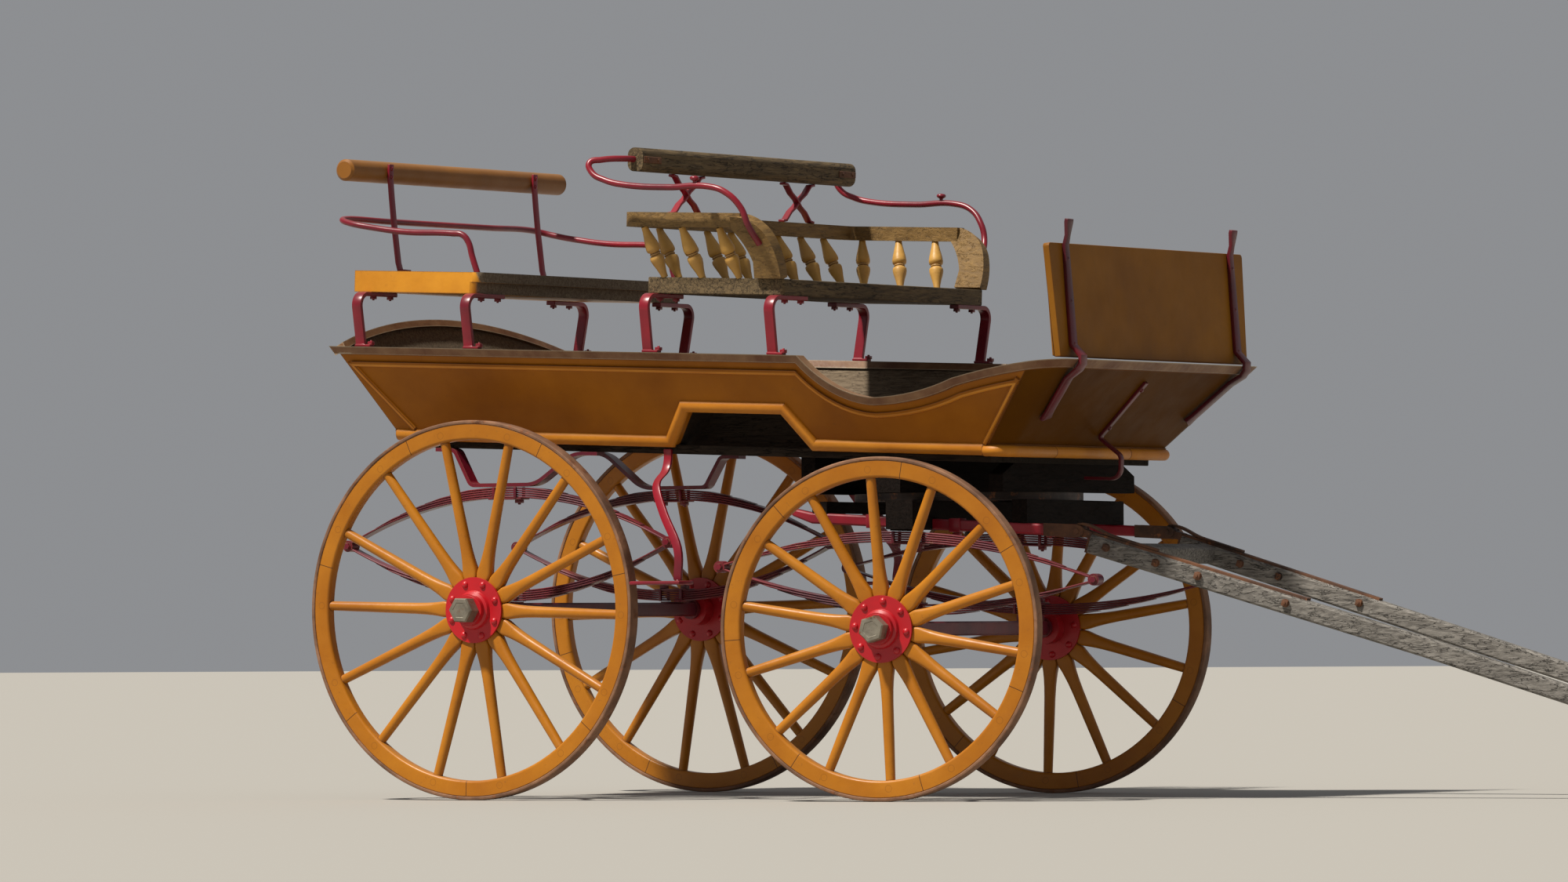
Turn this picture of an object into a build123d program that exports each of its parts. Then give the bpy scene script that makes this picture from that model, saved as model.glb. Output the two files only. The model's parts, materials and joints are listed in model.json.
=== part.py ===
"""An open four-wheeled horse carriage with two bench seats, shafts and a turning fore-carriage.

Lengths are in millimetres. +X is forward, +Y is the carriage's left side and +Z is up.
The ground is at Z = 0, and X = 0 is midway between the tail and the tips of the shafts.
The body sits nose down by a small angle, and the fore-carriage stands turned a little to the left.
"""

from build123d import *
import os
from math import asin, atan2, cos, degrees, hypot, radians, sin, sqrt, tan

os.makedirs("parts", exist_ok=True)

# Wheels
rear_wheel_r = 600
front_wheel_r = 531
track = 1468
tyre_width = 45
tyre_thick = 12
felloe_width = 41
felloe_chamfer = 7
rear_felloe_depth = 50
front_felloe_depth = 53
spoke_count = 14
spoke_mid_width = 35
spoke_tip_width = 29
spoke_round_r = 205
root_thick = 38
dish = 26
flange_r = 104
flange_thick = 8
barrel_r = 46
collar_r = 50
collar_step_r = 62
collar_step_len = 10
collar_len = 40
cap_len = 46
cap_flats = 72
nave_len = 56
rear_spoke_turn = -1.9
front_spoke_turn = 16.5

# Axles and their arms
axle_bar = 45
axle_arm_r = 18
axle_clearance = 0.3
axle_gap = 3
axle_collar_r = 32
axle_collar_len = 14

# Springs
spring_y = 500
spring_width = 42
leaf_thick = 7
leaf_count = 5
leaf_step = 95
rear_spring_half = 602
front_spring_half = 630
rear_spring_height = 365
front_spring_height = 260
rear_pad = 4
front_pad = 20
spring_eye_r = 19
spring_nut_r = 12
spring_seat_gap = 0.3
front_spring_pitch = 2.3

# Placing of the body and the fore-carriage
wheelbase = 1399
body_pitch = 2.2
sill_height = 1140
steer_rest = 7.1

# Body tub: side panels that flare outwards, a raked tail and a raked toe board
bottom_half = 515
flare_run = 0.534
panel_thick = 22
tail_bottom_x = -395
tail_rake = 30.2
tail_height = 262
tail_arch = 100
notch_bottom_rear = 612
notch_top_rear = 703
notch_top_front = 1064
notch_bottom_front = 1155
notch_height = 121
recess_inner = 395
recess_wall = 16
rail_knee_x = 1155
rail_low_x = 1397
rail_low_z = 137
dip_end_x = 1709
dip_end_z = 203
toe_top_z = 266
rail_thick = 24
rail_width = 46
rail_overhang = 12
toe_bottom_x = 1812
toe_run = 0.924
toe_corner_bottom = 60
toe_corner_growth = 0.09
floor_thick = 22
sill_depth = 30
sill_width = 56
sill_outer = 505
sill_rear_x = -350
sill_front_x = 1770
bead_height = 36
bead_drop = 8
bead_proud = 15
strip_height = 14
strip_proud = 8
moulding_drop = 24

# Dash board and its irons
dash_bottom_z = 300
dash_height = 350
dash_rake = 6.7
dash_half_bottom = 604
dash_half_top = 625
dash_thick = 22
dash_x = 2062
batten_width = 58
batten_thick = 7
dash_iron_y = 531
dash_iron_foot_y = 455
dash_iron_width = 30
dash_iron_thick = 10
dash_iron_foot_z = 110
dash_tip_rise = 75
toe_iron_width = 20
toe_iron_thick = 10
toe_iron_top_z = 230
toe_iron_low_z = 55
toe_curl_reach = 137
bed_curl_reach = 187
toe_curl_low_z = -72
toe_iron_tab = 60

# Seats
seat_half = 625
seat_top = 523
front_plank = 51
front_seat_rear = 582
front_seat_front = 1080
arm_half = 700
arm_top = 724
arm_depth = 45
arm_foot_y = 622
arm_foot_len = 95
bow_rear = 520
bow_corner = 60
arm_turn_x = 960
spindle_side_xs = (640, 777, 914)
spindle_back_count = 8
spindle_back_pitch = 144
spindle_back_x = 625
spindle_lean = 45
spindle_back_lean = 80
roll_half = 655
roll_x = 545
roll_z = 890
roll_height = 75
roll_depth = 56
rod_r = 10
cross_y = 340
cross_half = 70
rear_seat_half = 620
rear_seat_rear = -522
rear_seat_front = -45
rear_seat_bottom = 462
rear_tray_bottom = 498
rear_seat_top = 530
rear_bar_r = 35
rear_bar_half = 640
rear_bar_x = -560
rear_bar_z = 850
rear_stay_y = 430
leg_width = 34
leg_thick = 14
leg_foot_y = 648
leg_foot_bend = 20
leg_bulge_y = 686
leg_bend = 36
leg_end_y = 470
front_leg_xs = (606, 1062)
rear_leg_xs = (-472, -62)

# Steps
stem_width = 28
stem_thick = 12
stem_lap = 17
stem_back = 95
stem_forward = 135
stem_inset = 34
stem_knee_y = 596
step_tread_len = 185
step_tread_width = 90
step_tread_thick = 12
step_gap = 64
step_tread_y = 710
step_tread_z = 686

# Fifth wheel and beds
ring_r = 360
ring_width = 45
ring_thick = 12
ring_gap = 0.4
ring_z = 930
bed_half = 560
bed_width = 90
bed_under = 839.5
upper_bed_half = 515
upper_bed_width = 100
cross_width = 50
cross_half_len = 420
arch_end_z = 1008
arch_flat_half = 140
king_pin_r = 15
king_pin_low = 800
king_head_r = 28
king_head_thick = 10
king_pin_clearance = 0.3
loop_width = 45
loop_thick = 12
loop_steep_knee = 131
loop_steep_foot = 192
loop_steep_end = 262
loop_steep_bend = 24
loop_gentle_bend = 110
loop_gentle_knee = 112
loop_gentle_foot = 256
loop_gentle_end = 346

# Futchells and the hinge of the shafts
futchell_y = 380
futchell_width = 45
futchell_height = 34
futchell_rear = -428
futchell_rise_x = -366
futchell_rise = 10
futchell_mid_z = 858.5
futchell_slope = 3.2
hinge_x = 530
futchell_gap = 25
hinge_pin_r = 8
hinge_clearance = 0.3
eye_r = 19
eye_side_gap = 0.8
jaw_thick = 8
jaw_back = 110
jaw_reach = 20
jaw_half_height = 20

# Shafts
shaft_height = 60
shaft_width = 48
shaft_drop = 26
shaft_start = 48
shaft_waist_x = 1150
shaft_waist_y = 285
shaft_bend_x = 1850
shaft_tip_x = 2340
shaft_tip_drop = 95
tip_height = 44
tip_width = 38
tip_r = 24
strap_thick = 7
strap_len = 760
shaft_bar_x = 150
shaft_bar_size = 52
swingle_bolt_r = 8

rim_mid = track / 2 - tyre_width / 2

# The treads of the steps stand back from the ground that the front wheels sweep as they are steered.
wheel_sweep = hypot(front_wheel_r, track / 2)
step_outer_y = step_tread_y + step_tread_width / 2
step_tread_x = wheelbase - sqrt((wheel_sweep + step_gap) ** 2 - step_outer_y ** 2) - step_tread_len / 2

# The droop that lays the tips of the shafts on the ground, from the height of their hinge.
hinge_z = futchell_mid_z - hinge_x * tan(radians(futchell_slope))
tip_x = shaft_tip_x
tip_z = -shaft_drop - shaft_tip_drop
tip_reach = hypot(tip_x, tip_z)
shaft_droop = degrees(asin((hinge_z - tip_r) / tip_reach) - atan2(-tip_z, tip_x))

# The tips lie furthest forward and the rail over the tail furthest back, seen from the rear axle.
tip_run = hinge_x + tip_x * cos(radians(shaft_droop)) + tip_z * sin(radians(shaft_droop))
front_reach = (wheelbase + tip_run * cos(radians(steer_rest))
               + shaft_waist_y * sin(radians(steer_rest)) + tip_r)
tail_length = tail_height / cos(radians(tail_rake))
arch_along = tail_length + tail_arch + rail_thick
arch_x = tail_bottom_x - arch_along * sin(radians(tail_rake)) - rail_overhang * cos(radians(tail_rake))
arch_z = arch_along * cos(radians(tail_rake)) - rail_overhang * sin(radians(tail_rake))
back_reach = -(arch_x * cos(radians(body_pitch)) + arch_z * sin(radians(body_pitch)))
rear_x = -(front_reach - back_reach) / 2
king_x = rear_x + wheelbase

# Frames: the rear axle on the ground, the pitched body, the turned fore-carriage and the shafts.
chassis = Plane((rear_x, 0, 0), x_dir=(1, 0, 0), z_dir=(0, 0, 1))
body = Plane((rear_x, 0, sill_height),
             x_dir=(cos(radians(body_pitch)), 0, -sin(radians(body_pitch))),
             z_dir=(sin(radians(body_pitch)), 0, cos(radians(body_pitch))))
fore = Plane((king_x, 0, 0),
             x_dir=(cos(radians(steer_rest)), sin(radians(steer_rest)), 0),
             z_dir=(0, 0, 1))


def top(frame, height=0):
    """A plane across the frame at this height: sketch x is forward and y is left."""
    return Plane(frame.from_local_coords((0, 0, height)), x_dir=frame.x_dir, z_dir=frame.z_dir)


def side(frame, y=0):
    """An upright lengthwise plane, seen from the right: sketch x is forward and y is up."""
    return Plane(frame.from_local_coords((0, y, 0)), x_dir=frame.x_dir, z_dir=-frame.y_dir)


def front(frame, x=0):
    """An upright crosswise plane: sketch x is left and y is up."""
    return Plane(frame.from_local_coords((x, 0, 0)), x_dir=frame.y_dir, z_dir=frame.x_dir)


def tilted(frame, x, z, pitch):
    """The frame moved to this place and turned nose down by the pitch."""
    c, s = cos(radians(pitch)), sin(radians(pitch))
    forward = frame.x_dir * c - frame.z_dir * s
    upward = frame.x_dir * s + frame.z_dir * c
    return Plane(frame.from_local_coords((x, 0, z)), x_dir=forward, z_dir=upward)


def middle(frame):
    """The upright plane that halves a frame, left from right."""
    return Plane(frame.origin, x_dir=frame.x_dir, z_dir=-frame.y_dir)


def finish(piece, name):
    """Label a finished piece and write it."""
    piece.part.label = name
    export_step(piece.part, f"parts/{name}.step")


# Wheels: felloes and spokes of wood, a shrunk iron tyre, and a flanged metal nave with a cap nut.
def make_wood(wheel_r, felloe_depth):
    tread_r = wheel_r - tyre_thick
    inner_r = tread_r - felloe_depth
    root_top = -dish + root_thick / 2
    spoke_root = flange_r + 4
    spoke_len = inner_r + felloe_depth / 3
    with BuildPart() as spoke:
        # Each section: distance along the spoke, breadth round the wheel, thickness along the axle.
        sections = ((flange_r * 0.55, 27, root_thick),
                    (spoke_root, 46, root_thick - 2),
                    (spoke_round_r, spoke_mid_width, spoke_mid_width),
                    (spoke_len, spoke_tip_width, spoke_tip_width))
        for along, breadth, thick in sections:
            out = -dish + dish * max(0, along - spoke_root) / (spoke_len - spoke_root)
            plane = Plane((along, 0, out), x_dir=(0, 1, 0), z_dir=(1, 0, 0))
            with BuildSketch(plane):
                Rectangle(breadth, thick)
                chamfer(vertices(), min(breadth, thick) * 0.27)
        loft(ruled=True)
    with BuildPart() as wood:
        with BuildSketch(Plane.XY.offset(-felloe_width / 2)):
            Circle(tread_r)
            Circle(inner_r, mode=Mode.SUBTRACT)
        extrude(amount=felloe_width)
        chamfer(edges().filter_by(GeomType.CIRCLE).filter_by(lambda e: e.radius < inner_r + 1), felloe_chamfer)
        with PolarLocations(0, spoke_count):
            add(spoke.part)
        with BuildSketch(Plane.XY.offset(root_top - root_thick)):
            Circle(flange_r - 6)
        extrude(amount=root_thick)
        with BuildSketch(Plane.XY.offset(root_top - root_thick - 1)):
            Circle(barrel_r)
        extrude(amount=root_thick + 2, mode=Mode.SUBTRACT)
    return wood


def make_tyre(wheel_r):
    with BuildPart() as tyre:
        with BuildSketch(Plane.XY.offset(-tyre_width / 2)):
            Circle(wheel_r)
            Circle(wheel_r - tyre_thick, mode=Mode.SUBTRACT)
        extrude(amount=tyre_width)
    return tyre


def make_nave():
    face = -dish + root_thick / 2
    back = face - root_thick
    tail = back - nave_len
    bore_end = face + collar_len - 14
    with BuildPart() as nave:
        with BuildSketch(Plane.XZ):
            with BuildLine():
                Polyline((axle_arm_r + axle_clearance, tail), (barrel_r + 6, tail), (barrel_r + 6, back - 8),
                         (flange_r, back - 8), (flange_r, back), (barrel_r, back), (barrel_r, face),
                         (flange_r, face), (flange_r, face + flange_thick),
                         (collar_step_r, face + flange_thick),
                         (collar_step_r - 4, face + flange_thick + collar_step_len),
                         (collar_r, face + flange_thick + collar_step_len + 4), (collar_r, face + collar_len),
                         (0, face + collar_len), (0, bore_end), (axle_arm_r + axle_clearance, bore_end),
                         close=True)
            make_face()
        revolve(axis=Axis.Z)
        with BuildSketch(Plane.XY.offset(face + collar_len)):
            RegularPolygon(cap_flats / 2, 6, major_radius=False)
        extrude(amount=cap_len)
        chamfer(faces().sort_by(Axis.Z)[-1].edges(), 5)
    return nave


wheel_sets = (("rear", chassis, rear_wheel_r, rear_felloe_depth, rear_spoke_turn),
              ("front", fore, front_wheel_r, front_felloe_depth, front_spoke_turn))
nave_model = make_nave()
for end, frame, wheel_r, felloe_depth, turn in wheel_sets:
    wood_model = make_wood(wheel_r, felloe_depth)
    tyre_model = make_tyre(wheel_r)
    for hand, sign in (("right", -1), ("left", 1)):
        hub = Plane(frame.from_local_coords((0, sign * rim_mid, wheel_r)),
                    x_dir=frame.x_dir, z_dir=frame.y_dir * sign)
        for piece, model in (("wood", wood_model), ("tyre", tyre_model), ("nave", nave_model)):
            with BuildPart() as wheel:
                with Locations(hub.location * Rotation(0, 0, turn)):
                    add(model.part)
            finish(wheel, f"{end}_wheel_{hand}_{piece}")


# Axles: a square bar under the springs, with a collar and a round arm at each end.
nave_inner = rim_mid - dish - root_thick / 2 - nave_len
arm_end = rim_mid - dish + root_thick / 2 + collar_len - 20
for end, frame, wheel_r, pad, pitch in (
        ("rear", chassis, rear_wheel_r, rear_pad, 0),
        ("front", fore, front_wheel_r, front_pad - spring_seat_gap, front_spring_pitch)):
    with BuildPart() as axle:
        with BuildSketch(side(frame)):
            with Locations((0, wheel_r)):
                Rectangle(axle_bar, axle_bar)
        extrude(amount=nave_inner - axle_gap - axle_collar_len, both=True)
        chamfer(edges().filter_by(Axis((0, 0, 0), (frame.y_dir.X, frame.y_dir.Y, 0))), 5)
        for sign in (-1, 1):
            start = side(frame, sign * (nave_inner - axle_gap - axle_collar_len))
            with BuildSketch(start):
                with Locations((0, wheel_r)):
                    Circle(axle_collar_r)
            extrude(amount=-sign * axle_collar_len)
            with BuildSketch(start):
                with Locations((0, wheel_r)):
                    Circle(axle_arm_r)
            extrude(amount=-sign * (arm_end - nave_inner + axle_gap + axle_collar_len))
        pad_z = wheel_r + axle_bar / 2
        pad_half = axle_bar / 2 + 15
        pad_rise = pad_half * tan(radians(pitch))
        for sign in (-1, 1):
            with BuildSketch(side(frame, sign * spring_y)):
                with BuildLine():
                    Polyline((-pad_half, pad_z), (pad_half, pad_z), (pad_half, pad_z + pad - pad_rise),
                             (-pad_half, pad_z + pad + pad_rise), close=True)
                make_face()
            extrude(amount=spring_width / 2 + 5, both=True)
    finish(axle, f"{end}_axle")


# Elliptic springs: an upper and a lower bow of leaves that shorten outwards, meeting in round eyes.
def bow_band(half, rise, inner, outer, reach):
    """One leaf of the upper bow, between two offsets of the main arc and out to its reach."""
    radius = (half ** 2 + rise ** 2) / (2 * rise)
    centre_z = rise - radius
    angle = asin(reach / radius)
    for offset in (inner, outer):
        r = radius + offset
        yield (r * sin(angle), centre_z + r * cos(angle)), (0, centre_z + r)


def make_spring(half, height):
    rise = height / 2 - leaf_count * leaf_thick
    with BuildPart() as spring:
        with BuildSketch(Plane.XZ) as upper:
            for i in range(leaf_count):
                reach = half - i * leaf_step - (10 if i else 0)
                (in_end, in_mid), (out_end, out_mid) = bow_band(
                    half, rise, i * leaf_thick - (0.5 if i else 0), (i + 1) * leaf_thick, reach)
                with BuildLine():
                    ThreePointArc((-in_end[0], in_end[1]), in_mid, in_end)
                    Line(in_end, out_end)
                    ThreePointArc(out_end, out_mid, (-out_end[0], out_end[1]))
                    Line((-out_end[0], out_end[1]), (-in_end[0], in_end[1]))
                make_face()
            mirror(about=Plane.XZ)
            with Locations((half, 0), (-half, 0)):
                Circle(spring_eye_r)
        extrude(amount=spring_width / 2, both=True)
        with BuildSketch(Plane.XZ):
            with Locations((half, 0), (-half, 0)):
                RegularPolygon(spring_nut_r, 6)
        extrude(amount=spring_width / 2 + 8, both=True)
    return spring


rear_spring_mid = rear_wheel_r + axle_bar / 2 + rear_pad + rear_spring_height / 2
front_spring_mid = front_wheel_r + axle_bar / 2 + front_pad + front_spring_height / 2
for end, frame, half, height, mid, pitch in (
        ("rear", chassis, rear_spring_half, rear_spring_height, rear_spring_mid, 0),
        ("front", fore, front_spring_half, front_spring_height, front_spring_mid, front_spring_pitch)):
    spring_model = make_spring(half, height)
    seat_frame = tilted(frame, 0, mid, pitch)
    with BuildPart() as springs:
        for sign in (-1, 1):
            with Locations(side(seat_frame, sign * spring_y).location * Rotation(-90, 0, 0)):
                add(spring_model.part)
    finish(springs, f"{end}_springs")


# Body tub. Its side panels lean out, cut by the line of the top rail and by a notch over each step.
flare = atan2(flare_run, 1)
far_out = 900


def half_at(z):
    """Half the tub's outside width at this height."""
    return bottom_half + flare_run * z


def toe_face(z):
    """How far forward the toe board's outer face is at this height."""
    return toe_bottom_x + toe_run * z


def flared(sign, inwards=0):
    """The outer face of a side panel, or a plane this far inside it. Its sketch y runs up the slope."""
    y = sign * (bottom_half - inwards * cos(flare))
    outward = body.y_dir * (sign * cos(flare)) - body.z_dir * sin(flare)
    forward = body.x_dir * -sign
    return Plane(body.from_local_coords((0, y, inwards * sin(flare))), x_dir=forward, z_dir=outward)


def up(z):
    """Distance up the slope of a side panel to this height."""
    return z / cos(flare)


def rail_space(lift):
    """Everything above the top rail's underside, raised nearly square to that line by the lift."""
    d = lift
    knee = (rail_knee_x + 0.41 * d, tail_height + d)
    low = (rail_low_x, rail_low_z + d)
    dip_end = (dip_end_x - 0.27 * d, dip_end_z + 0.96 * d)
    front_end = (toe_face(toe_top_z) + 40, toe_top_z + 4 + d)
    with BuildPart() as space:
        with BuildSketch(side(body)):
            with BuildLine():
                ThreePointArc(knee, (1247 + 0.54 * d, 181 + 0.84 * d), low)
                ThreePointArc(low, (1535 - 0.2 * d, 153 + 0.98 * d), dip_end)
                ThreePointArc(dip_end, (1885 - 0.2 * d, 242 + 0.98 * d), front_end)
                Polyline(front_end, (front_end[0] + far_out, front_end[1]), (front_end[0] + far_out, far_out),
                         (tail_bottom_x - far_out, far_out), (tail_bottom_x - far_out, knee[1]), knee)
            make_face()
        extrude(amount=far_out, both=True)
    return space.part


tail = Plane(body.from_local_coords((tail_bottom_x, 0, 0)), x_dir=body.y_dir,
             z_dir=body.x_dir * cos(radians(tail_rake)) + body.z_dir * sin(radians(tail_rake)))
wall = panel_thick / cos(flare)
bead_z = bead_height / 2 - bead_drop
rear_slant = (notch_top_rear - notch_bottom_rear) / notch_height
front_slant = (notch_bottom_front - notch_top_front) / notch_height
above_rail = rail_space(0)


def notch_outline(grow):
    """The notch between its beads seen from the side, run on downwards, grown by a wall if asked."""
    low = -60
    with BuildSketch() as outline:
        with BuildLine():
            Polyline((notch_top_rear + rear_slant * (low - notch_height), low), (notch_top_rear, notch_height),
                     (notch_top_front, notch_height),
                     (notch_top_front - front_slant * (low - notch_height), low), close=True)
        make_face()
        offset(amount=grow - bead_height / 2, kind=Kind.INTERSECTION)
    return outline.sketch


notch = notch_outline(0)
notch_walls = notch_outline(recess_wall)
left_face = flared(1)


def on_side(*points):
    """Points of the side view as sketch points of the left panel's plane, whose x runs backwards."""
    return [(-x, up(z)) for x, z in points]


strip_z = tail_height - moulding_drop - strip_height / 2
rear_strip_foot = (tail_bottom_x + 60, bead_height - bead_drop)
rear_strip_top = (rear_strip_foot[0] - 0.86 * (strip_z - rear_strip_foot[1]), strip_z)
front_strip_foot = (toe_bottom_x - 50, bead_height - bead_drop)
front_strip_top = (front_strip_foot[0] + 0.85 * (strip_z - front_strip_foot[1]), strip_z)
corner_x = toe_bottom_x - toe_corner_bottom
corner_plane = Plane(body.from_local_coords((corner_x, 0, 0)), x_dir=body.y_dir,
                     z_dir=body.z_dir * (toe_run - toe_corner_growth) - body.x_dir)
with BuildPart() as side_left:
    with BuildSketch(left_face):
        with BuildLine():
            Polyline(*on_side((tail_bottom_x - 400, -60), (corner_x + 400, -60), (corner_x + 400, 400),
                              (tail_bottom_x - 400, 400)), close=True)
        make_face()
    extrude(amount=-panel_thick)
    split(bisect_by=top(body), keep=Keep.TOP)
    with BuildSketch(side(body)):
        add(notch)
    extrude(amount=-far_out, mode=Mode.SUBTRACT)
    add(above_rail, mode=Mode.SUBTRACT)
    with BuildSketch(left_face):
        with BuildLine():
            Polyline(*on_side((tail_bottom_x - 100, bead_z), (notch_bottom_rear + 8, bead_z),
                              (notch_top_rear, notch_height), (notch_top_front, notch_height),
                              (notch_bottom_front - 8, bead_z), (corner_x + 100, bead_z)))
        trace(line_width=bead_height)
    extrude(amount=bead_proud)
    bead_face = faces().filter_by(left_face).sort_by(Axis(left_face.origin, left_face.z_dir))[-1]
    chamfer(bead_face.edges(), bead_proud * 0.6)
    # A thin moulding follows the rail and comes down to the bead beside the tail and the toe board.
    with BuildSketch(left_face):
        with BuildLine():
            Polyline(*on_side(rear_strip_top, rear_strip_foot))
        trace(line_width=strip_height)
        with BuildLine():
            Polyline(*on_side(front_strip_top, front_strip_foot))
        trace(line_width=strip_height)
    extrude(amount=strip_proud)
    with BuildPart(mode=Mode.PRIVATE) as moulding:
        with BuildSketch(left_face):
            with BuildLine():
                Polyline(*on_side((rear_strip_top[0], 0), (front_strip_top[0], 0),
                                  (front_strip_top[0], toe_top_z), (rear_strip_top[0], toe_top_z)), close=True)
            make_face()
        extrude(amount=strip_proud)
        add(rail_space(-moulding_drop - strip_height), mode=Mode.INTERSECT)
        add(rail_space(-moulding_drop), mode=Mode.SUBTRACT)
    add(moulding.part)
    for edge_plane in (tail, corner_plane):
        split(bisect_by=edge_plane, keep=Keep.TOP)
finish(side_left, "side_panel_left")

with BuildPart() as side_right:
    mirror(side_left.part, about=middle(body))
finish(side_right, "side_panel_right")

# The raked tail board, arched at its top, between the side panels.
tail_arch_half = half_at(tail_height) + rail_overhang


def tail_outline(rise):
    """The tail under its arch, raised by the rise."""
    top_y = tail_length + rise
    with BuildSketch() as outline:
        with BuildLine():
            Polyline((-tail_arch_half, top_y), (-tail_arch_half, 0), (tail_arch_half, 0), (tail_arch_half, top_y))
            ThreePointArc((tail_arch_half, top_y), (0, top_y + tail_arch), (-tail_arch_half, top_y))
        make_face()
    return outline.sketch


under_arch = tail_outline(0)
over_arch = tail_outline(rail_thick)


with BuildPart() as tail_board:
    with BuildSketch(tail):
        add(under_arch)
    extrude(amount=panel_thick)
    for sign in (-1, 1):
        split(bisect_by=flared(sign, panel_thick), keep=Keep.BOTTOM)
finish(tail_board, "tail_board")


def tub_section(z, out, inwards, back):
    """The tub cut level at this height: two arms and a straight front with round corners between."""
    face = toe_face(z) + out
    half = half_at(z) + out
    r = toe_corner_bottom + toe_corner_growth * z + out
    thick = out + inwards
    near = r - thick
    arm = face - r
    start = arm if back is None else back
    with BuildSketch() as section:
        with BuildLine():
            Line((face, -half + r), (face, half - r))
            RadiusArc((face, half - r), (arm, half), -r)
            if back is not None:
                Line((arm, half), (start, half))
            Line((start, half), (start, half - thick))
            if back is not None:
                Line((start, half - thick), (arm, half - thick))
            RadiusArc((arm, half - thick), (face - thick, half - r), near)
            Line((face - thick, half - r), (face - thick, -half + r))
            RadiusArc((face - thick, -half + r), (arm, -half + thick), near)
            if back is not None:
                Line((arm, -half + thick), (start, -half + thick))
            Line((start, -half + thick), (start, -half))
            if back is not None:
                Line((start, -half), (arm, -half))
            RadiusArc((arm, -half), (face, -half + r), -r)
        make_face()
    return section.sketch


toe_low = tub_section(0, 0, wall, None)
toe_high = tub_section(toe_top_z + 60, 0, wall, None)
rail_back = tail_bottom_x - 2 * tail_height
rail_low_level = rail_low_z - 40
rail_high_level = toe_top_z + 120
rail_lower = tub_section(rail_low_level, rail_overhang, rail_width - rail_overhang, rail_back)
rail_upper = tub_section(rail_high_level, rail_overhang, rail_width - rail_overhang, rail_back)


with BuildPart() as toe_board:
    with BuildSketch(top(body)):
        add(toe_low)
    with BuildSketch(top(body, toe_top_z + 60)):
        add(toe_high)
    loft(ruled=True)
    add(above_rail, mode=Mode.SUBTRACT)
    with BuildSketch(top(body, -bead_drop)):
        with Locations((toe_bottom_x + bead_proud - toe_corner_bottom / 2, 0)):
            Rectangle(toe_corner_bottom + 2 * bead_proud, 2 * (bottom_half + bead_proud))
        fillet(vertices().group_by(Axis.X)[-1], toe_corner_bottom)
        with Locations((toe_bottom_x - toe_corner_bottom, 0)):
            Rectangle(2 * toe_corner_bottom, 2 * (bottom_half - bead_proud / 2), mode=Mode.SUBTRACT)
    extrude(amount=bead_height)
    split(bisect_by=corner_plane, keep=Keep.BOTTOM)
finish(toe_board, "toe_board")

with BuildPart() as floor_board:
    with BuildSketch(side(body)):
        with BuildLine():
            rear = tail_bottom_x + panel_thick / cos(radians(tail_rake))
            Polyline((rear, 0), (toe_bottom_x - wall, 0), (toe_face(floor_thick) - wall, floor_thick),
                     (rear - floor_thick * tan(radians(tail_rake)), floor_thick), close=True)
        make_face()
    extrude(amount=bottom_half, both=True)
    for sign in (-1, 1):
        split(bisect_by=flared(sign, panel_thick), keep=Keep.BOTTOM)
    with BuildSketch(top(body, -1)):
        with Locations((toe_bottom_x - wall, 0)):
            Rectangle(2 * toe_corner_bottom, 2 * far_out)
            Rectangle(2 * toe_corner_bottom, 2 * (bottom_half - toe_corner_bottom), mode=Mode.SUBTRACT)
    extrude(amount=floor_thick + 2, mode=Mode.SUBTRACT)
    for sign in (-1, 1):
        with BuildSketch(side(body, sign * recess_inner)):
            add(notch_walls)
        extrude(amount=-sign * far_out, mode=Mode.SUBTRACT)
finish(floor_board, "floor_board")

with BuildPart() as recesses:
    for sign in (-1, 1):
        with BuildPart(mode=Mode.PRIVATE) as recess:
            with BuildSketch(side(body, sign * recess_inner)):
                add(notch_walls)
            extrude(amount=-sign * far_out)
            with BuildSketch(side(body, sign * (recess_inner + recess_wall))):
                add(notch)
            extrude(amount=-sign * far_out, mode=Mode.SUBTRACT)
            split(bisect_by=top(body), keep=Keep.TOP)
            split(bisect_by=flared(sign, panel_thick), keep=Keep.BOTTOM)
        add(recess.part)
finish(recesses, "step_recesses")

with BuildPart() as top_rail:
    with BuildSketch(top(body, rail_low_level)):
        add(rail_lower)
    with BuildSketch(top(body, rail_high_level)):
        add(rail_upper)
    loft(ruled=True)
    add(above_rail, mode=Mode.INTERSECT)
    add(rail_space(rail_thick), mode=Mode.SUBTRACT)
    split(bisect_by=tail.offset(-rail_overhang), keep=Keep.TOP)
    with BuildSketch(tail.offset(-rail_overhang)):
        add(over_arch)
    extrude(amount=rail_width)
    with BuildSketch(tail.offset(-2 * rail_overhang)):
        add(under_arch)
    extrude(amount=rail_width + 2 * rail_overhang, mode=Mode.SUBTRACT)
finish(top_rail, "top_rail")

# Sills under the floor, which the loop irons, the steps and the upper bed are fastened to.
with BuildPart() as sills:
    with BuildSketch(top(body, -sill_depth)):
        for sign in (-1, 1):
            with Locations(((sill_rear_x + sill_front_x) / 2, sign * (sill_outer - sill_width / 2))):
                Rectangle(sill_front_x - sill_rear_x, sill_width)
        for x in (sill_rear_x + sill_width / 2, sill_front_x - sill_width / 2):
            with Locations((x, 0)):
                Rectangle(sill_width, 2 * sill_outer - sill_width)
    extrude(amount=sill_depth)
finish(sills, "body_sills")


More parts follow.
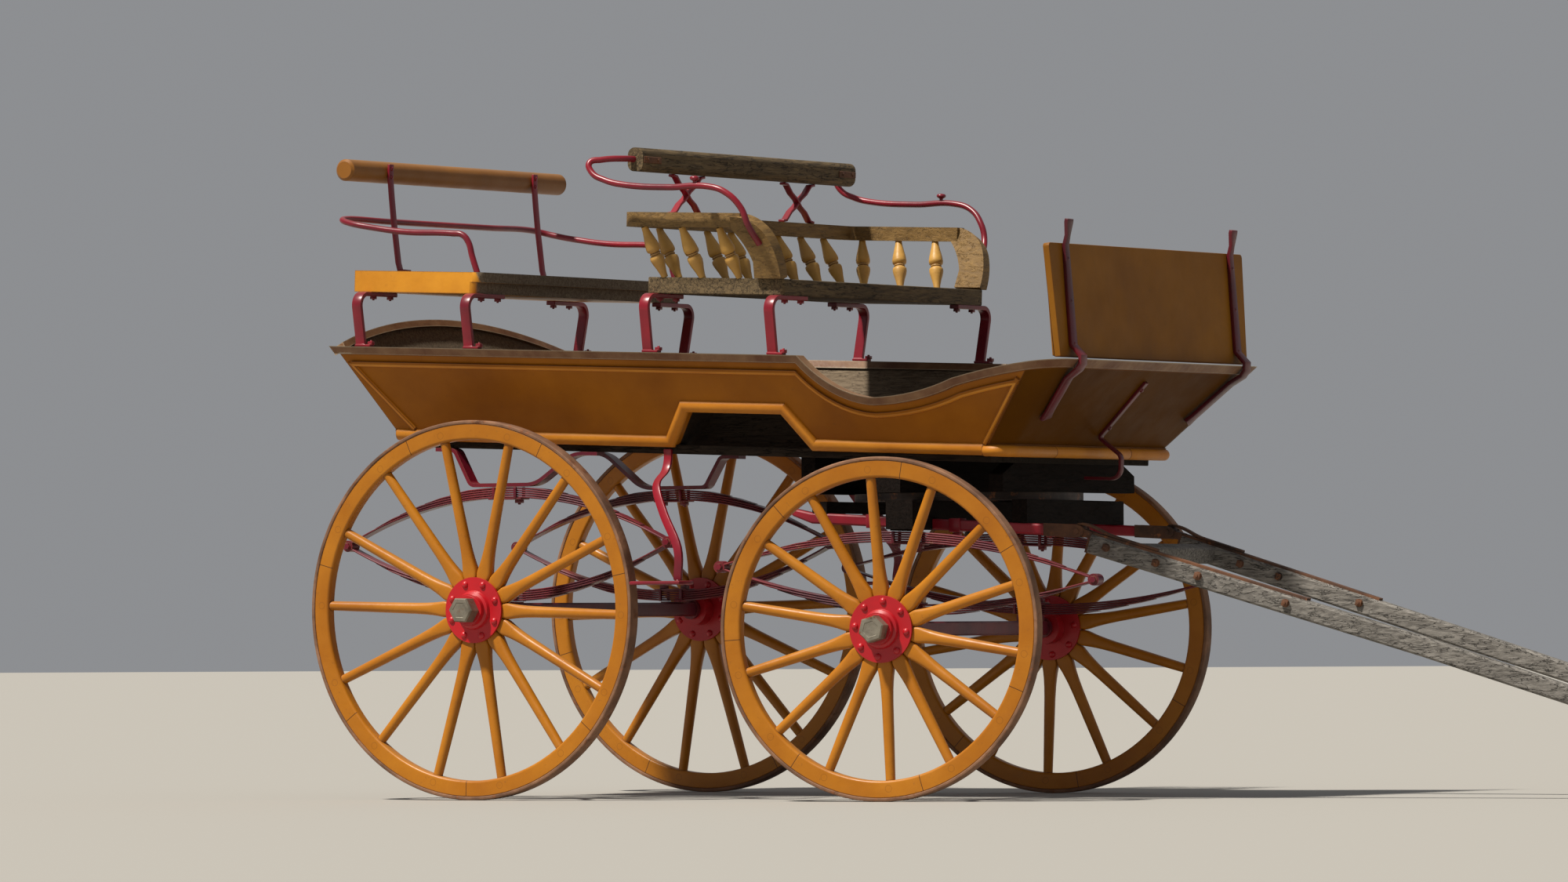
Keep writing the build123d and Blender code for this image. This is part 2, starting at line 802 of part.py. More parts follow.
# Dash board, standing clear of the rail on two long irons that run up the toe board.
dash = Plane(body.from_local_coords((dash_x, 0, dash_bottom_z)), x_dir=body.y_dir,
             z_dir=body.x_dir * cos(radians(dash_rake)) + body.z_dir * sin(radians(dash_rake)))
with BuildPart() as dash_board:
    with BuildSketch(dash):
        with BuildLine():
            Polyline((-dash_half_bottom, 0), (dash_half_bottom, 0), (dash_half_top, dash_height),
                     (-dash_half_top, dash_height), close=True)
        make_face()
        fillet(vertices().group_by(Axis.Y)[-1], 12)
    extrude(amount=-dash_thick)
    with BuildSketch(dash.offset(-dash_thick)):
        for sign in (-1, 1):
            with Locations((sign * (dash_half_bottom - batten_width / 2), dash_height / 2)):
                Rectangle(batten_width, dash_height - 8)
    extrude(amount=-batten_thick)
finish(dash_board, "dash_board")


def dash_front(z, out):
    """A point of the side view in front of the dash board at this height."""
    rise = z - dash_bottom_z
    return dash_x - rise * tan(radians(dash_rake)) + out / cos(radians(dash_rake)), z


def toe_front(z, out):
    """A point of the side view in front of the toe board at this height."""
    return toe_face(z) + out * sqrt(1 + toe_run ** 2), z


dash_top_z = dash_bottom_z + dash_height * cos(radians(dash_rake))
iron_mid = dash_iron_thick / 2
rail_front_x = toe_face(toe_top_z + rail_thick) + rail_overhang
iron_bend = (rail_front_x + 4 + iron_mid, toe_top_z + 2)
iron_low = toe_front(toe_top_z - 30, iron_mid + 0.4)
with BuildPart() as dash_irons:
    for sign in (-1, 1):
        with BuildSketch(side(body, sign * dash_iron_y)):
            with BuildLine():
                Polyline(iron_bend, (iron_bend[0], toe_top_z + rail_thick + 12),
                         dash_front(dash_bottom_z + 36, iron_mid), dash_front(dash_top_z, iron_mid),
                         (dash_front(dash_top_z + dash_tip_rise, iron_mid)[0] + 12, dash_top_z + dash_tip_rise))
            trace(line_width=dash_iron_thick)
        extrude(amount=dash_iron_width / 2, both=True)
        # The lower part fans inwards down the toe board.
        foot_y = sign * dash_iron_foot_y
        for a, b in (((toe_front(dash_iron_foot_z, iron_mid + 0.4), foot_y),
                      (iron_low, sign * (dash_iron_y - 8))),
                     ((iron_low, sign * (dash_iron_y - 8)), (iron_bend, sign * dash_iron_y))):
            start = body.from_local_coords((a[0][0], a[1], a[0][1]))
            end = body.from_local_coords((b[0][0], b[1], b[0][1]))
            across = Plane(start, x_dir=body.y_dir, z_dir=end - start)
            with BuildSketch(across):
                Rectangle(dash_iron_width, dash_iron_thick)
            extrude(amount=(end - start).length + 4)
finish(dash_irons, "dash_irons")

# The iron in the middle of the toe board, which curls down to the front cross-bed. Its curl stands
# clear of whichever comes further forward, the foot of the toe board or the cross-bed.
arch_front_x = wheelbase + ring_r + 3
curl_x = max(toe_bottom_x + toe_curl_reach, arch_front_x + bed_curl_reach)
toe_iron_path = (toe_front(toe_iron_top_z, toe_iron_thick / 2), toe_front(toe_iron_low_z, toe_iron_thick / 2),
                 (curl_x, 0), (curl_x, toe_curl_low_z), (arch_front_x + toe_iron_tab, toe_curl_low_z))
with BuildPart() as toe_iron:
    with BuildSketch(side(body)):
        with BuildLine():
            FilletPolyline(*toe_iron_path, radius=(10, 24, 34))
        trace(line_width=toe_iron_thick)
    extrude(amount=toe_iron_width / 2, both=True)
finish(toe_iron, "toe_iron")


# Seats. Flat bars bent outwards carry the planks off the top rail.
rail_top_z = tail_height + rail_thick


def leg_path(bottom, sign):
    """A seat leg seen from the front: up from the rail, out, and in again under the plank."""
    high = bottom - leg_thick / 2
    return [(sign * y, z) for y, z in (
        (leg_foot_y, rail_top_z + 4), (leg_foot_y + 6, rail_top_z + 34), (leg_bulge_y, high), (leg_end_y, high))]


for end, xs, bottom in (("front", front_leg_xs, seat_top - front_plank), ("rear", rear_leg_xs, rear_seat_bottom)):
    with BuildPart() as legs:
        for x in xs:
            for sign in (-1, 1):
                with BuildSketch(front(body, x)):
                    with BuildLine():
                        FilletPolyline(*leg_path(bottom, sign), radius=(leg_foot_bend, leg_bend))
                    trace(line_width=leg_thick)
                extrude(amount=leg_width / 2, both=True)
                with BuildSketch(top(body, rail_top_z)):
                    with Locations((x + 12, sign * leg_foot_y)):
                        Rectangle(leg_width + 24, leg_thick + 12)
                extrude(amount=8)
    finish(legs, f"{end}_seat_legs")

with BuildPart() as front_seat_board:
    with BuildSketch(top(body, seat_top - front_plank)):
        with Locations(((front_seat_rear + front_seat_front) / 2, 0)):
            Rectangle(front_seat_front - front_seat_rear, 2 * seat_half)
        fillet(vertices(), 10)
    extrude(amount=front_plank)
finish(front_seat_board, "front_seat_board")

# The bow round the back of the front seat ends in curved boards that stand on the plank's ends.
arm_rise = arm_top - arm_depth - seat_top
arm_mid_y = arm_half - arm_depth / 2
arm_lean = degrees(atan2(arm_mid_y - arm_foot_y, arm_rise))
with BuildPart() as bow:
    with BuildSketch(top(body, arm_top - arm_depth)):
        with Locations(((bow_rear + arm_turn_x) / 2, 0)):
            Rectangle(arm_turn_x - bow_rear, 2 * arm_half)
        fillet(vertices().group_by(Axis.X)[0], bow_corner)
        with Locations(((bow_rear + arm_depth + arm_turn_x) / 2, 0)):
            Rectangle(arm_turn_x - bow_rear - arm_depth, 2 * (arm_half - arm_depth), mode=Mode.SUBTRACT)
        fillet(vertices().filter_by(lambda v: abs(v.X - bow_rear - arm_depth) < 1), bow_corner - arm_depth)
    extrude(amount=arm_depth)
    for sign in (-1, 1):
        lean = radians(arm_lean)
        leaning = Plane(body.from_local_coords((0, sign * arm_foot_y, seat_top)), x_dir=body.x_dir,
                        z_dir=body.z_dir * (sin(lean) * sign) - body.y_dir * cos(lean))
        full = (arm_top - seat_top) / cos(lean)
        foot_rear = front_seat_front - arm_foot_len
        shoulder = (front_seat_front - 18, full * 0.6)
        with BuildSketch(leaning):
            with BuildLine():
                Line((foot_rear, 0), (front_seat_front, 0))
                ThreePointArc((front_seat_front, 0), (front_seat_front - 2, shoulder[1] * 0.55), shoulder)
                ThreePointArc(shoulder, ((shoulder[0] + arm_turn_x) / 2 + 11, full - 34), (arm_turn_x, full - 8))
                Line((arm_turn_x, full - 8), (arm_turn_x - 30, full - 8))
                Line((arm_turn_x - 30, full - 8), (arm_turn_x - 30, full - 48))
                ThreePointArc((arm_turn_x - 30, full - 48), (foot_rear - 13, full / 2), (foot_rear + 5, full * 0.28))
                Line((foot_rear + 5, full * 0.28), (foot_rear, 0))
            make_face()
        extrude(amount=arm_depth / 2 - 1, both=True)
    split(bisect_by=top(body, seat_top), keep=Keep.TOP)
    split(bisect_by=top(body, arm_top), keep=Keep.BOTTOM)
finish(bow, "front_seat_bow")

# Turned spindles, cut here with eight flats: each row is a share of the length and a radius there.
spindle_profile = ((0, 10), (0.14, 10), (0.25, 19), (0.37, 10), (0.45, 16), (0.52, 10), (0.65, 20),
                   (0.8, 12), (1, 9))
spindle_flats = 8
spindle_low = seat_top
spindle_high = arm_top - arm_depth


def make_spindle(length):
    with BuildPart() as spindle:
        for share, r in spindle_profile:
            with BuildSketch(Plane.XY.offset(share * length)):
                RegularPolygon(r, spindle_flats)
        loft(ruled=True)
    return spindle.part


back_span = (spindle_back_count - 1) * spindle_back_pitch / 2
spindle_ends = [((spindle_back_x, y), (spindle_back_x - spindle_back_lean, y))
                for y in (i * spindle_back_pitch - back_span for i in range(spindle_back_count))]
spindle_ends += [((x, sign * (arm_foot_y - 8)), (x - spindle_lean, sign * (arm_mid_y - 6)))
                 for x in spindle_side_xs for sign in (-1, 1)]
with BuildPart() as spindles:
    for (x0, y0), (x1, y1) in spindle_ends:
        rise = spindle_high - spindle_low
        start = body.from_local_coords((x0, y0, spindle_low))
        end = body.from_local_coords((x1, y1, spindle_high))
        axis_frame = Plane(start, x_dir=body.x_dir, z_dir=end - start)
        spare = 12
        with Locations(axis_frame.offset(-spare).location):
            add(make_spindle((end - start).length + 2 * spare))
    split(bisect_by=top(body, seat_top), keep=Keep.TOP)
    split(bisect_by=top(body, spindle_high), keep=Keep.BOTTOM)
finish(spindles, "front_seat_spindles")

# The front seat's back: a roll of wood on crossed irons, with a round iron down to the arm at each end.
with BuildPart() as roll:
    with BuildSketch(side(body)):
        with Locations((roll_x, roll_z)):
            Rectangle(roll_depth, roll_height)
            fillet(vertices(), roll_depth / 2 - 4)
    extrude(amount=roll_half, both=True)
finish(roll, "front_backrest")


def rod(points, radius):
    """A round iron bent through these body points."""
    path = [body.from_local_coords(p) for p in points]
    with BuildPart() as bar:
        with BuildLine() as line:
            Polyline(*path)
        first = path[1] - path[0]
        with BuildSketch(Plane(path[0], z_dir=first)):
            Circle(radius)
        sweep(path=line.wires()[0], transition=Transition.RIGHT)
    return bar.part


iron_x = (bow_rear + bow_rear + arm_depth) / 2
roll_bottom = roll_z - roll_height / 2
roll_end = roll_half + 9
with BuildPart() as front_irons:
    for sign in (-1, 1):
        with BuildSketch(front(body, iron_x)):
            for hand in (-1, 1):
                with BuildLine():
                    Polyline((sign * cross_y + hand * (cross_half + 25), arm_top + 4),
                             (sign * cross_y + hand * cross_half, arm_top + 4),
                             (sign * cross_y + hand * 12, (arm_top + roll_bottom) / 2 - 8),
                             (sign * cross_y - hand * 12, (arm_top + roll_bottom) / 2 + 8),
                             (sign * cross_y - hand * cross_half, roll_bottom - 4),
                             (sign * cross_y - hand * (cross_half + 25), roll_bottom - 4))
                trace(line_width=8)
        extrude(amount=12, both=True)
        path = ((roll_x, roll_end - 30, roll_z), (roll_x - 20, roll_end + 20, roll_z + 1),
                (roll_x - 75, 735, roll_z - 5), (roll_x - 105, 757, roll_z - 16), (roll_x - 92, 764, roll_z - 45),
                (roll_x - 40, 766, roll_z - 70), (roll_x + 25, 766, roll_z - 83), (roll_x + 195, 766, roll_z - 90),
                (roll_x + 334, 766, roll_z - 86), (roll_x + 400, 764, roll_z - 104), (roll_x + 448, 750, roll_z - 150),
                (roll_x + 470, 738, roll_z - 205), (roll_x + 485, 692, roll_z - 262))
        add(rod([(x, sign * y, z) for x, y, z in path], rod_r))
        with BuildSketch(top(body, roll_z - 92)):
            with Locations((roll_x + 288, sign * 766)):
                Circle(8)
        extrude(amount=26)
        with BuildSketch(top(body, roll_z - 68)):
            with Locations((roll_x + 288, sign * 766)):
                Circle(15)
        extrude(amount=8)
    add(roll.part, mode=Mode.SUBTRACT)
    add(bow.part, mode=Mode.SUBTRACT)
finish(front_irons, "front_seat_irons")

# Rear seat: a plank with a wider tray board on it, a round back bar on two stays, and a hoop of round iron.
with BuildPart() as rear_seat_board:
    with BuildSketch(top(body, rear_seat_bottom)):
        with Locations(((rear_seat_rear + rear_seat_front - 15) / 2, 0)):
            Rectangle(rear_seat_front - 15 - rear_seat_rear, 2 * rear_seat_half)
        fillet(vertices().group_by(Axis.X)[-1], 25)
    extrude(amount=rear_tray_bottom - rear_seat_bottom)
    with BuildSketch(top(body, rear_tray_bottom)):
        with Locations(((rear_seat_rear + rear_seat_front) / 2, 0)):
            Rectangle(rear_seat_front - rear_seat_rear, 2 * rear_seat_half)
        fillet(vertices().group_by(Axis.X)[-1], 30)
    extrude(amount=rear_seat_top - rear_tray_bottom)
finish(rear_seat_board, "rear_seat_board")

with BuildPart() as rear_backrest:
    with BuildSketch(side(body)):
        with Locations((rear_bar_x, rear_bar_z)):
            Circle(rear_bar_r)
    extrude(amount=rear_bar_half, both=True)
    chamfer(edges().filter_by(GeomType.CIRCLE), 8)
finish(rear_backrest, "rear_backrest")

with BuildPart() as rear_irons:
    for sign in (-1, 1):
        with BuildSketch(side(body, sign * rear_stay_y)):
            with BuildLine():
                Polyline((rear_bar_x + rear_bar_r + 4, rear_bar_z + 26), (rear_bar_x + rear_bar_r + 4, rear_bar_z - 30),
                         (-503, 688), (-482, 560), (-474, rear_seat_top + 4), (-440, rear_seat_top + 4))
            trace(line_width=8)
        extrude(amount=13, both=True)
    half_hoop = ((-69, 600, rear_seat_top), (-88, 603, 580), (-104, 606, 628), (-124, 608, 648), (-160, 610, 652),
                 (-338, 612, 655), (-470, 612, 668), (-556, 608, 681), (-594, 590, 690), (-607, 555, 695))
    hoop = [(x, -y, z) for x, y, z in half_hoop] + [(x, y, z) for x, y, z in reversed(half_hoop)]
    add(rod(hoop, rod_r))
    split(bisect_by=top(body, rear_seat_top), keep=Keep.TOP)
finish(rear_irons, "rear_seat_irons")


def sill_under(x):
    """Height of the sills' underside above the ground, this far ahead of the rear axle."""
    return sill_height - sill_depth / cos(radians(body_pitch)) - x * tan(radians(body_pitch))


# Steps: a flat stem from the sill bends out and forward to a plain tread below the notch.
stem_x = step_tread_x - stem_back
stem_high = sill_under(stem_x) + stem_lap
stem_drop = sill_under(stem_x) - step_tread_z
# Each row: distance ahead of the stem's top, distance from the middle, height above the ground.
stem_points = ((0, sill_outer + stem_thick / 2, stem_high),
               (0, sill_outer + stem_thick / 2, stem_high - 2 * stem_lap),
               (9, stem_knee_y, step_tread_z + 0.745 * stem_drop),
               (stem_forward, step_tread_y - stem_inset, step_tread_z + 0.25 * stem_drop),
               (stem_forward, step_tread_y - stem_inset, step_tread_z))
with BuildPart() as steps:
    for sign in (-1, 1):
        for segment in zip(stem_points, stem_points[1:]):
            for x, y, z in segment:
                with BuildSketch(top(chassis, z)):
                    with Locations((stem_x + x, sign * y)):
                        Rectangle(stem_width, stem_thick)
            loft(ruled=True)
        with BuildSketch(top(chassis, step_tread_z - step_tread_thick)):
            with Locations((step_tread_x, sign * step_tread_y)):
                Rectangle(step_tread_len, step_tread_width)
            fillet(vertices(), 12)
        extrude(amount=step_tread_thick)
finish(steps, "steps")

# Loop irons over the rear springs carry the tub's sills. One end of each rises steeply and the other
# gently, and the left one is the same forging turned half round.
rear_spring_top = rear_spring_mid + rear_spring_height / 2
with BuildPart() as loops:
    for sign in (-1, 1):
        low = rear_spring_top + loop_thick / 2
        loop_path = [(-sign * x, low if on_spring else sill_under(-sign * x) - loop_thick / 2)
                     for x, on_spring in ((-loop_steep_end, False), (-loop_steep_foot, False),
                                          (-loop_steep_knee, True), (loop_gentle_knee, True),
                                          (loop_gentle_foot, False), (loop_gentle_end, False))]
        with BuildSketch(side(chassis, sign * spring_y)):
            with BuildLine():
                FilletPolyline(*loop_path, radius=(loop_steep_bend, loop_steep_bend, loop_gentle_bend,
                                                   loop_gentle_bend))
            trace(line_width=loop_thick)
        extrude(amount=loop_width / 2, both=True)
    split(bisect_by=top(body, -sill_depth), keep=Keep.BOTTOM)
finish(loops, "loop_irons")

# Upper bed: a heavy cross-timber over the king pin and two lighter ones on the turning ring.
upper_z = ring_z + 2 * ring_thick + ring_gap
ring_mid = ring_r - ring_width / 2
pin_bore_r = king_pin_r + king_pin_clearance
with BuildPart() as upper_bed:
    with BuildSketch(side(chassis)):
        with Locations((wheelbase, (upper_z + sill_height) / 2)):
            Rectangle(upper_bed_width, sill_height - upper_z)
    extrude(amount=upper_bed_half, both=True)
    for x, flat in ((wheelbase - ring_mid, cross_half_len), (wheelbase + ring_mid, arch_flat_half)):
        with BuildSketch(front(chassis, x)):
            with BuildLine():
                Polyline((-cross_half_len, upper_z), (cross_half_len, upper_z), (cross_half_len, arch_end_z),
                         (flat, sill_height), (-flat, sill_height), (-cross_half_len, arch_end_z), close=True)
            make_face()
        extrude(amount=cross_width / 2, both=True)
    split(bisect_by=top(body, -sill_depth), keep=Keep.BOTTOM)
    with BuildSketch(top(chassis, upper_z)):
        with Locations((wheelbase, 0)):
            Circle(pin_bore_r)
    extrude(amount=sill_height, mode=Mode.SUBTRACT)
    pin_top_z = sill_under(wheelbase + king_head_r) - king_head_thick
    with BuildSketch(top(chassis, pin_top_z)):
        with Locations((wheelbase, 0)):
            Circle(king_head_r + 1)
    extrude(amount=sill_height, mode=Mode.SUBTRACT)
finish(upper_bed, "upper_bed")

with BuildPart() as upper_ring:
    with BuildSketch(top(fore, upper_z - ring_thick)):
        Circle(ring_r)
        Circle(ring_r - ring_width, mode=Mode.SUBTRACT)
    extrude(amount=ring_thick)
finish(upper_ring, "upper_ring")

with BuildPart() as king_pin:
    with BuildSketch(top(fore, king_pin_low)):
        Circle(king_pin_r)
    extrude(amount=pin_top_z - king_pin_low)
    with BuildSketch(top(fore, pin_top_z)):
        Circle(king_head_r)
    extrude(amount=king_head_thick)
finish(king_pin, "king_pin")


# Fore-carriage: the lower ring, its bed and bearers, and the two curved-ended bars called futchells.
with BuildPart() as lower_ring:
    with BuildSketch(top(fore, ring_z)):
        Circle(ring_r)
        Circle(ring_r - ring_width, mode=Mode.SUBTRACT)
    extrude(amount=ring_thick)
finish(lower_ring, "lower_ring")

futchell_fall = tan(radians(futchell_slope))
futchell_front = hinge_x - futchell_gap
futchell_half = futchell_height / 2 / cos(radians(futchell_slope))


def futchell_z(x):
    """Height of a futchell's middle this far ahead of the king pin."""
    return futchell_mid_z - futchell_fall * x


with BuildPart() as futchells:
    for sign in (-1, 1):
        with BuildSketch(side(fore, sign * futchell_y)):
            with BuildLine():
                Polyline((futchell_rise_x, futchell_z(futchell_rise_x) - futchell_half),
                         (futchell_front, futchell_z(futchell_front) - futchell_half),
                         (futchell_front, futchell_z(futchell_front) + futchell_half),
                         (futchell_rise_x, futchell_z(futchell_rise_x) + futchell_half),
                         (futchell_rear, futchell_z(futchell_rear) + futchell_half + futchell_rise),
                         (futchell_rear - 10, futchell_z(futchell_rear) + futchell_rise),
                         (futchell_rear, futchell_z(futchell_rear) - futchell_half + 2 * futchell_rise),
                         close=True)
            make_face()
        extrude(amount=futchell_width / 2, both=True)
finish(futchells, "futchells")

front_spring_top = front_spring_mid + front_spring_height / 2 + spring_seat_gap
spring_fall = tan(radians(front_spring_pitch))
with BuildPart() as lower_bed:
    with BuildSketch(side(fore)):
        with Locations((0, (bed_under + ring_z) / 2)):
            Rectangle(bed_width, ring_z - bed_under)
    extrude(amount=bed_half, both=True)
    for sign in (-1, 1):
        with BuildSketch(side(fore, sign * spring_y)):
            with BuildLine():
                half = bed_width / 2
                Polyline((-half, bed_under), (-half, front_spring_top + half * spring_fall),
                         (half, front_spring_top - half * spring_fall), (half, bed_under), close=True)
            make_face()
        extrude(amount=spring_width / 2 + 5, both=True)
    add(futchells.part, mode=Mode.SUBTRACT)
    with BuildSketch(top(fore, bed_under)):
        Circle(pin_bore_r)
    extrude(amount=ring_z - bed_under, mode=Mode.SUBTRACT)
finish(lower_bed, "lower_bed")

with BuildPart() as bearers:
    for x in (-ring_mid, ring_mid):
        half = cross_width / 2
        with BuildSketch(side(fore)):
            with BuildLine():
                Polyline((x - half, futchell_z(x - half) + futchell_half),
                         (x + half, futchell_z(x + half) + futchell_half), (x + half, ring_z), (x - half, ring_z),
                         close=True)
            make_face()
        extrude(amount=futchell_y + futchell_width / 2, both=True)
finish(bearers, "ring_bearers")

# Jaws on the futchells' front ends, with the pins the shafts turn on.
with BuildPart() as jaws:
    for sign in (-1, 1):
        for hand in (-1, 1):
            with BuildSketch(side(fore, sign * futchell_y + hand * (futchell_width / 2 + jaw_thick / 2))):
                with BuildLine():
                    rear = hinge_x - jaw_back
                    Polyline((rear, futchell_z(rear) - jaw_half_height), (hinge_x, hinge_z - jaw_half_height),
                             (hinge_x + jaw_reach, hinge_z - jaw_half_height / 2),
                             (hinge_x + jaw_reach, hinge_z + jaw_half_height / 2),
                             (hinge_x, hinge_z + jaw_half_height), (rear, futchell_z(rear) + jaw_half_height),
                             close=True)
                make_face()
            extrude(amount=jaw_thick / 2, both=True)
        with BuildSketch(side(fore, sign * futchell_y)):
            with Locations((hinge_x, hinge_z)):
                Circle(hinge_pin_r)
        extrude(amount=futchell_width / 2 + jaw_thick + 6, both=True)
finish(jaws, "shaft_jaws")


# Shafts, drooped until their tips rest on the ground.
shaft_frame = tilted(fore, hinge_x, hinge_z, shaft_droop)
straight_z = -shaft_drop
# Each section: distance ahead of the hinge, distance from the middle, height, breadth, depth.
shaft_sections = ((shaft_start, futchell_y, straight_z, shaft_width, shaft_height),
                  (shaft_waist_x, shaft_waist_y, straight_z, shaft_width, shaft_height),
                  (shaft_bend_x, shaft_waist_y, straight_z - 8, shaft_width - 4, shaft_height - 6),
                  (shaft_tip_x, shaft_waist_y, straight_z - shaft_tip_drop, tip_width, tip_height))
with BuildPart() as shafts:
    for sign in (-1, 1):
        for a, b in zip(shaft_sections, shaft_sections[1:]):
            for x, y, z, breadth, depth in (a, b):
                with BuildSketch(front(shaft_frame, x)):
                    with Locations((sign * y, z)):
                        Rectangle(breadth, depth)
                        chamfer(vertices(), 7)
            loft(ruled=True)
        with Locations(shaft_frame.location * Location((shaft_tip_x, sign * shaft_waist_y,
                                                        straight_z - shaft_tip_drop))):
            Sphere(tip_r)
    with BuildSketch(side(shaft_frame)):
        with Locations((shaft_bar_x, straight_z)):
            Rectangle(shaft_bar_size, shaft_bar_size)
            chamfer(vertices(), 5)
    extrude(amount=futchell_y, both=True)
    with BuildSketch(top(shaft_frame, straight_z)):
        with Locations((shaft_bar_x, 0)):
            Circle(swingle_bolt_r)
    extrude(amount=shaft_bar_size, both=True, mode=Mode.SUBTRACT)
finish(shafts, "shafts")

eye_half = futchell_width / 2 - eye_side_gap
strap_z = straight_z + shaft_height / 2
spread = (futchell_y - shaft_waist_y) / (shaft_waist_x - shaft_start)
strap_end_y = futchell_y - spread * (strap_len - shaft_start)
with BuildPart() as shaft_irons:
    for sign in (-1, 1):
        with BuildSketch(side(shaft_frame, sign * futchell_y)):
            Circle(eye_r)
            with BuildLine():
                Polyline((0, strap_z + strap_thick), (shaft_start, strap_z + strap_thick),
                         (shaft_start, strap_z - shaft_height), (shaft_start - 8, strap_z - shaft_height),
                         (shaft_start - 8, -eye_r + 8), (0, -eye_r + 4), close=True)
            make_face()
            Circle(hinge_pin_r + hinge_clearance, mode=Mode.SUBTRACT)
        extrude(amount=eye_half, both=True)
        for x, y in ((shaft_start - 1, futchell_y), (strap_len, strap_end_y)):
            with BuildSketch(front(shaft_frame, x)):
                with Locations((sign * y, strap_z + strap_thick / 2)):
                    Rectangle(shaft_width - 14, strap_thick)
        loft(ruled=True)
finish(shaft_irons, "shaft_irons")
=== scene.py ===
"""Looks of the open four-wheeled horse carriage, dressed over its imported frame.

Lengths are in metres in the frame's own axes: +X is forward, +Y the carriage's left side, +Z up. Places on the
body, the fore-carriage and the shafts are given in their own axes, and their frames carry them over.
The sections follow the carriage as it is put together, from its axles up to its seats.
"""

import cmath
import json
from math import asin, atan, atan2, copysign, cos, pi, radians, sin, sqrt, tan, tau

import bpy
from mathutils import Matrix, Vector


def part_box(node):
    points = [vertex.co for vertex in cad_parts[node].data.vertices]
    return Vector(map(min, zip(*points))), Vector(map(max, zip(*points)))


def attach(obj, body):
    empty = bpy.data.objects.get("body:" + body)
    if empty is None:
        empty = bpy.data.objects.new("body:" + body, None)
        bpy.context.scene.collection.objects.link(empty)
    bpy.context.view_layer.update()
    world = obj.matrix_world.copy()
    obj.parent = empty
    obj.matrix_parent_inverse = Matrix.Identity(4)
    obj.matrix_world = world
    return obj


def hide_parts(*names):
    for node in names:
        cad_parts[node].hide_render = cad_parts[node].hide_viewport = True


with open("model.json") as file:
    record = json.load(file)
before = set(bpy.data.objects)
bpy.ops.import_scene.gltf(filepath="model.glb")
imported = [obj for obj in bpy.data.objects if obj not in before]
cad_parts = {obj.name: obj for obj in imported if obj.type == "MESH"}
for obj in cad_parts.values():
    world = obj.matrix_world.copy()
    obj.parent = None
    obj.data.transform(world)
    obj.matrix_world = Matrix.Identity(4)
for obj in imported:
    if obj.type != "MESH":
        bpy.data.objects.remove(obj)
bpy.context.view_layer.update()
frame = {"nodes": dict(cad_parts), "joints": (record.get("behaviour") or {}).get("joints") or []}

# Camera: low and far off at the carriage's right front side, with a long lens, as in the photograph.
# Its place is given from the point on the ground under the rear axle.
IMAGE_WIDTH = 2000
FOCAL_PIXELS = 11831
SENSOR = 36.0
CAMERA_FROM_AXLE = Vector((15.928, -25.319, 0.534))
AZIMUTH = radians(30.989)
ELEVATION = radians(-1.16)
ROLL = radians(-0.417)


def stand(name, data):
    """A new object in the scene, made of this mesh, curve, lamp or camera."""
    made = bpy.data.objects.new(name, data)
    bpy.context.scene.collection.objects.link(made)
    return made


joint_at = {joint["name"]: Vector(joint["pos_m"]) for joint in frame["joints"]}
rear_axle_ground = Vector((joint_at["rear_right_wheel_turn"].x, 0, 0))
camera_data = bpy.data.cameras.new("camera")
camera_data.sensor_width = SENSOR
camera_data.lens = FOCAL_PIXELS / IMAGE_WIDTH * SENSOR
camera_data.clip_end = 200
camera = stand("camera", camera_data)
camera.matrix_world = (Matrix.Translation(rear_axle_ground + CAMERA_FROM_AXLE) @ Matrix.Rotation(AZIMUTH, 4, "Z")
                       @ Matrix.Rotation(pi / 2 - ELEVATION, 4, "X") @ Matrix.Rotation(ROLL, 4, "Z"))
bpy.context.scene.camera = camera

# Studio: a pale matt floor under an even sky, with one soft sun high over the viewer's left shoulder.
# The sun's side and height follow the shadows in the photograph.
FLOOR_SIZE = 160
FLOOR_TONE = (0.34, 0.325, 0.295, 1)
SKY_TONE = (0.86, 0.88, 0.92, 1)
SKY_STRENGTH = 0.31
SUN_TONE = (1.0, 0.95, 0.87)
SUN_STRENGTH = 5.4
SUN_SPREAD = radians(4)
SUN_FROM = Vector((-0.28, -0.54, 1.0))

bpy.ops.mesh.primitive_plane_add(size=FLOOR_SIZE, location=(0, 0, 0))
floor = bpy.context.object
floor.name = "studio_floor"
floor_finish = bpy.data.materials.new("studio_floor")
floor_finish.use_nodes = True
floor_shader = floor_finish.node_tree.nodes["Principled BSDF"]
floor_shader.inputs["Base Color"].default_value = FLOOR_TONE
floor_shader.inputs["Roughness"].default_value = 0.95
floor.data.materials.append(floor_finish)

studio_world = bpy.data.worlds.new("studio")
studio_world.use_nodes = True
sky = studio_world.node_tree.nodes["Background"].inputs
sky["Color"].default_value = SKY_TONE
sky["Strength"].default_value = SKY_STRENGTH
bpy.context.scene.world = studio_world

sun_data = bpy.data.lights.new("sun", "SUN")
sun_data.energy = SUN_STRENGTH
sun_data.angle = SUN_SPREAD
sun_data.color = SUN_TONE
sun = stand("sun", sun_data)
sun.rotation_euler = (-SUN_FROM).to_track_quat("-Z", "Y").to_euler()
bpy.context.scene.view_settings.view_transform = "Standard"

# Axles and loop irons: bars of wrought iron, forged and bolted under the tub and the fore-carriage. Their
# brushed dark red paint has dulled in patches, and rust breaks through it, first along the edges.
DEEP_RED = (0.17, 0.006, 0.016)
PLUM = (0.055, 0.005, 0.018)


def fill(socket, value):
    """Link this input to another socket, or set it to a value. A colour is given as three shares."""
    if isinstance(value, bpy.types.NodeSocket):
        socket.id_data.links.new(value, socket)
    else:
        socket.default_value = (*value, 1) if socket.type == "RGBA" else value


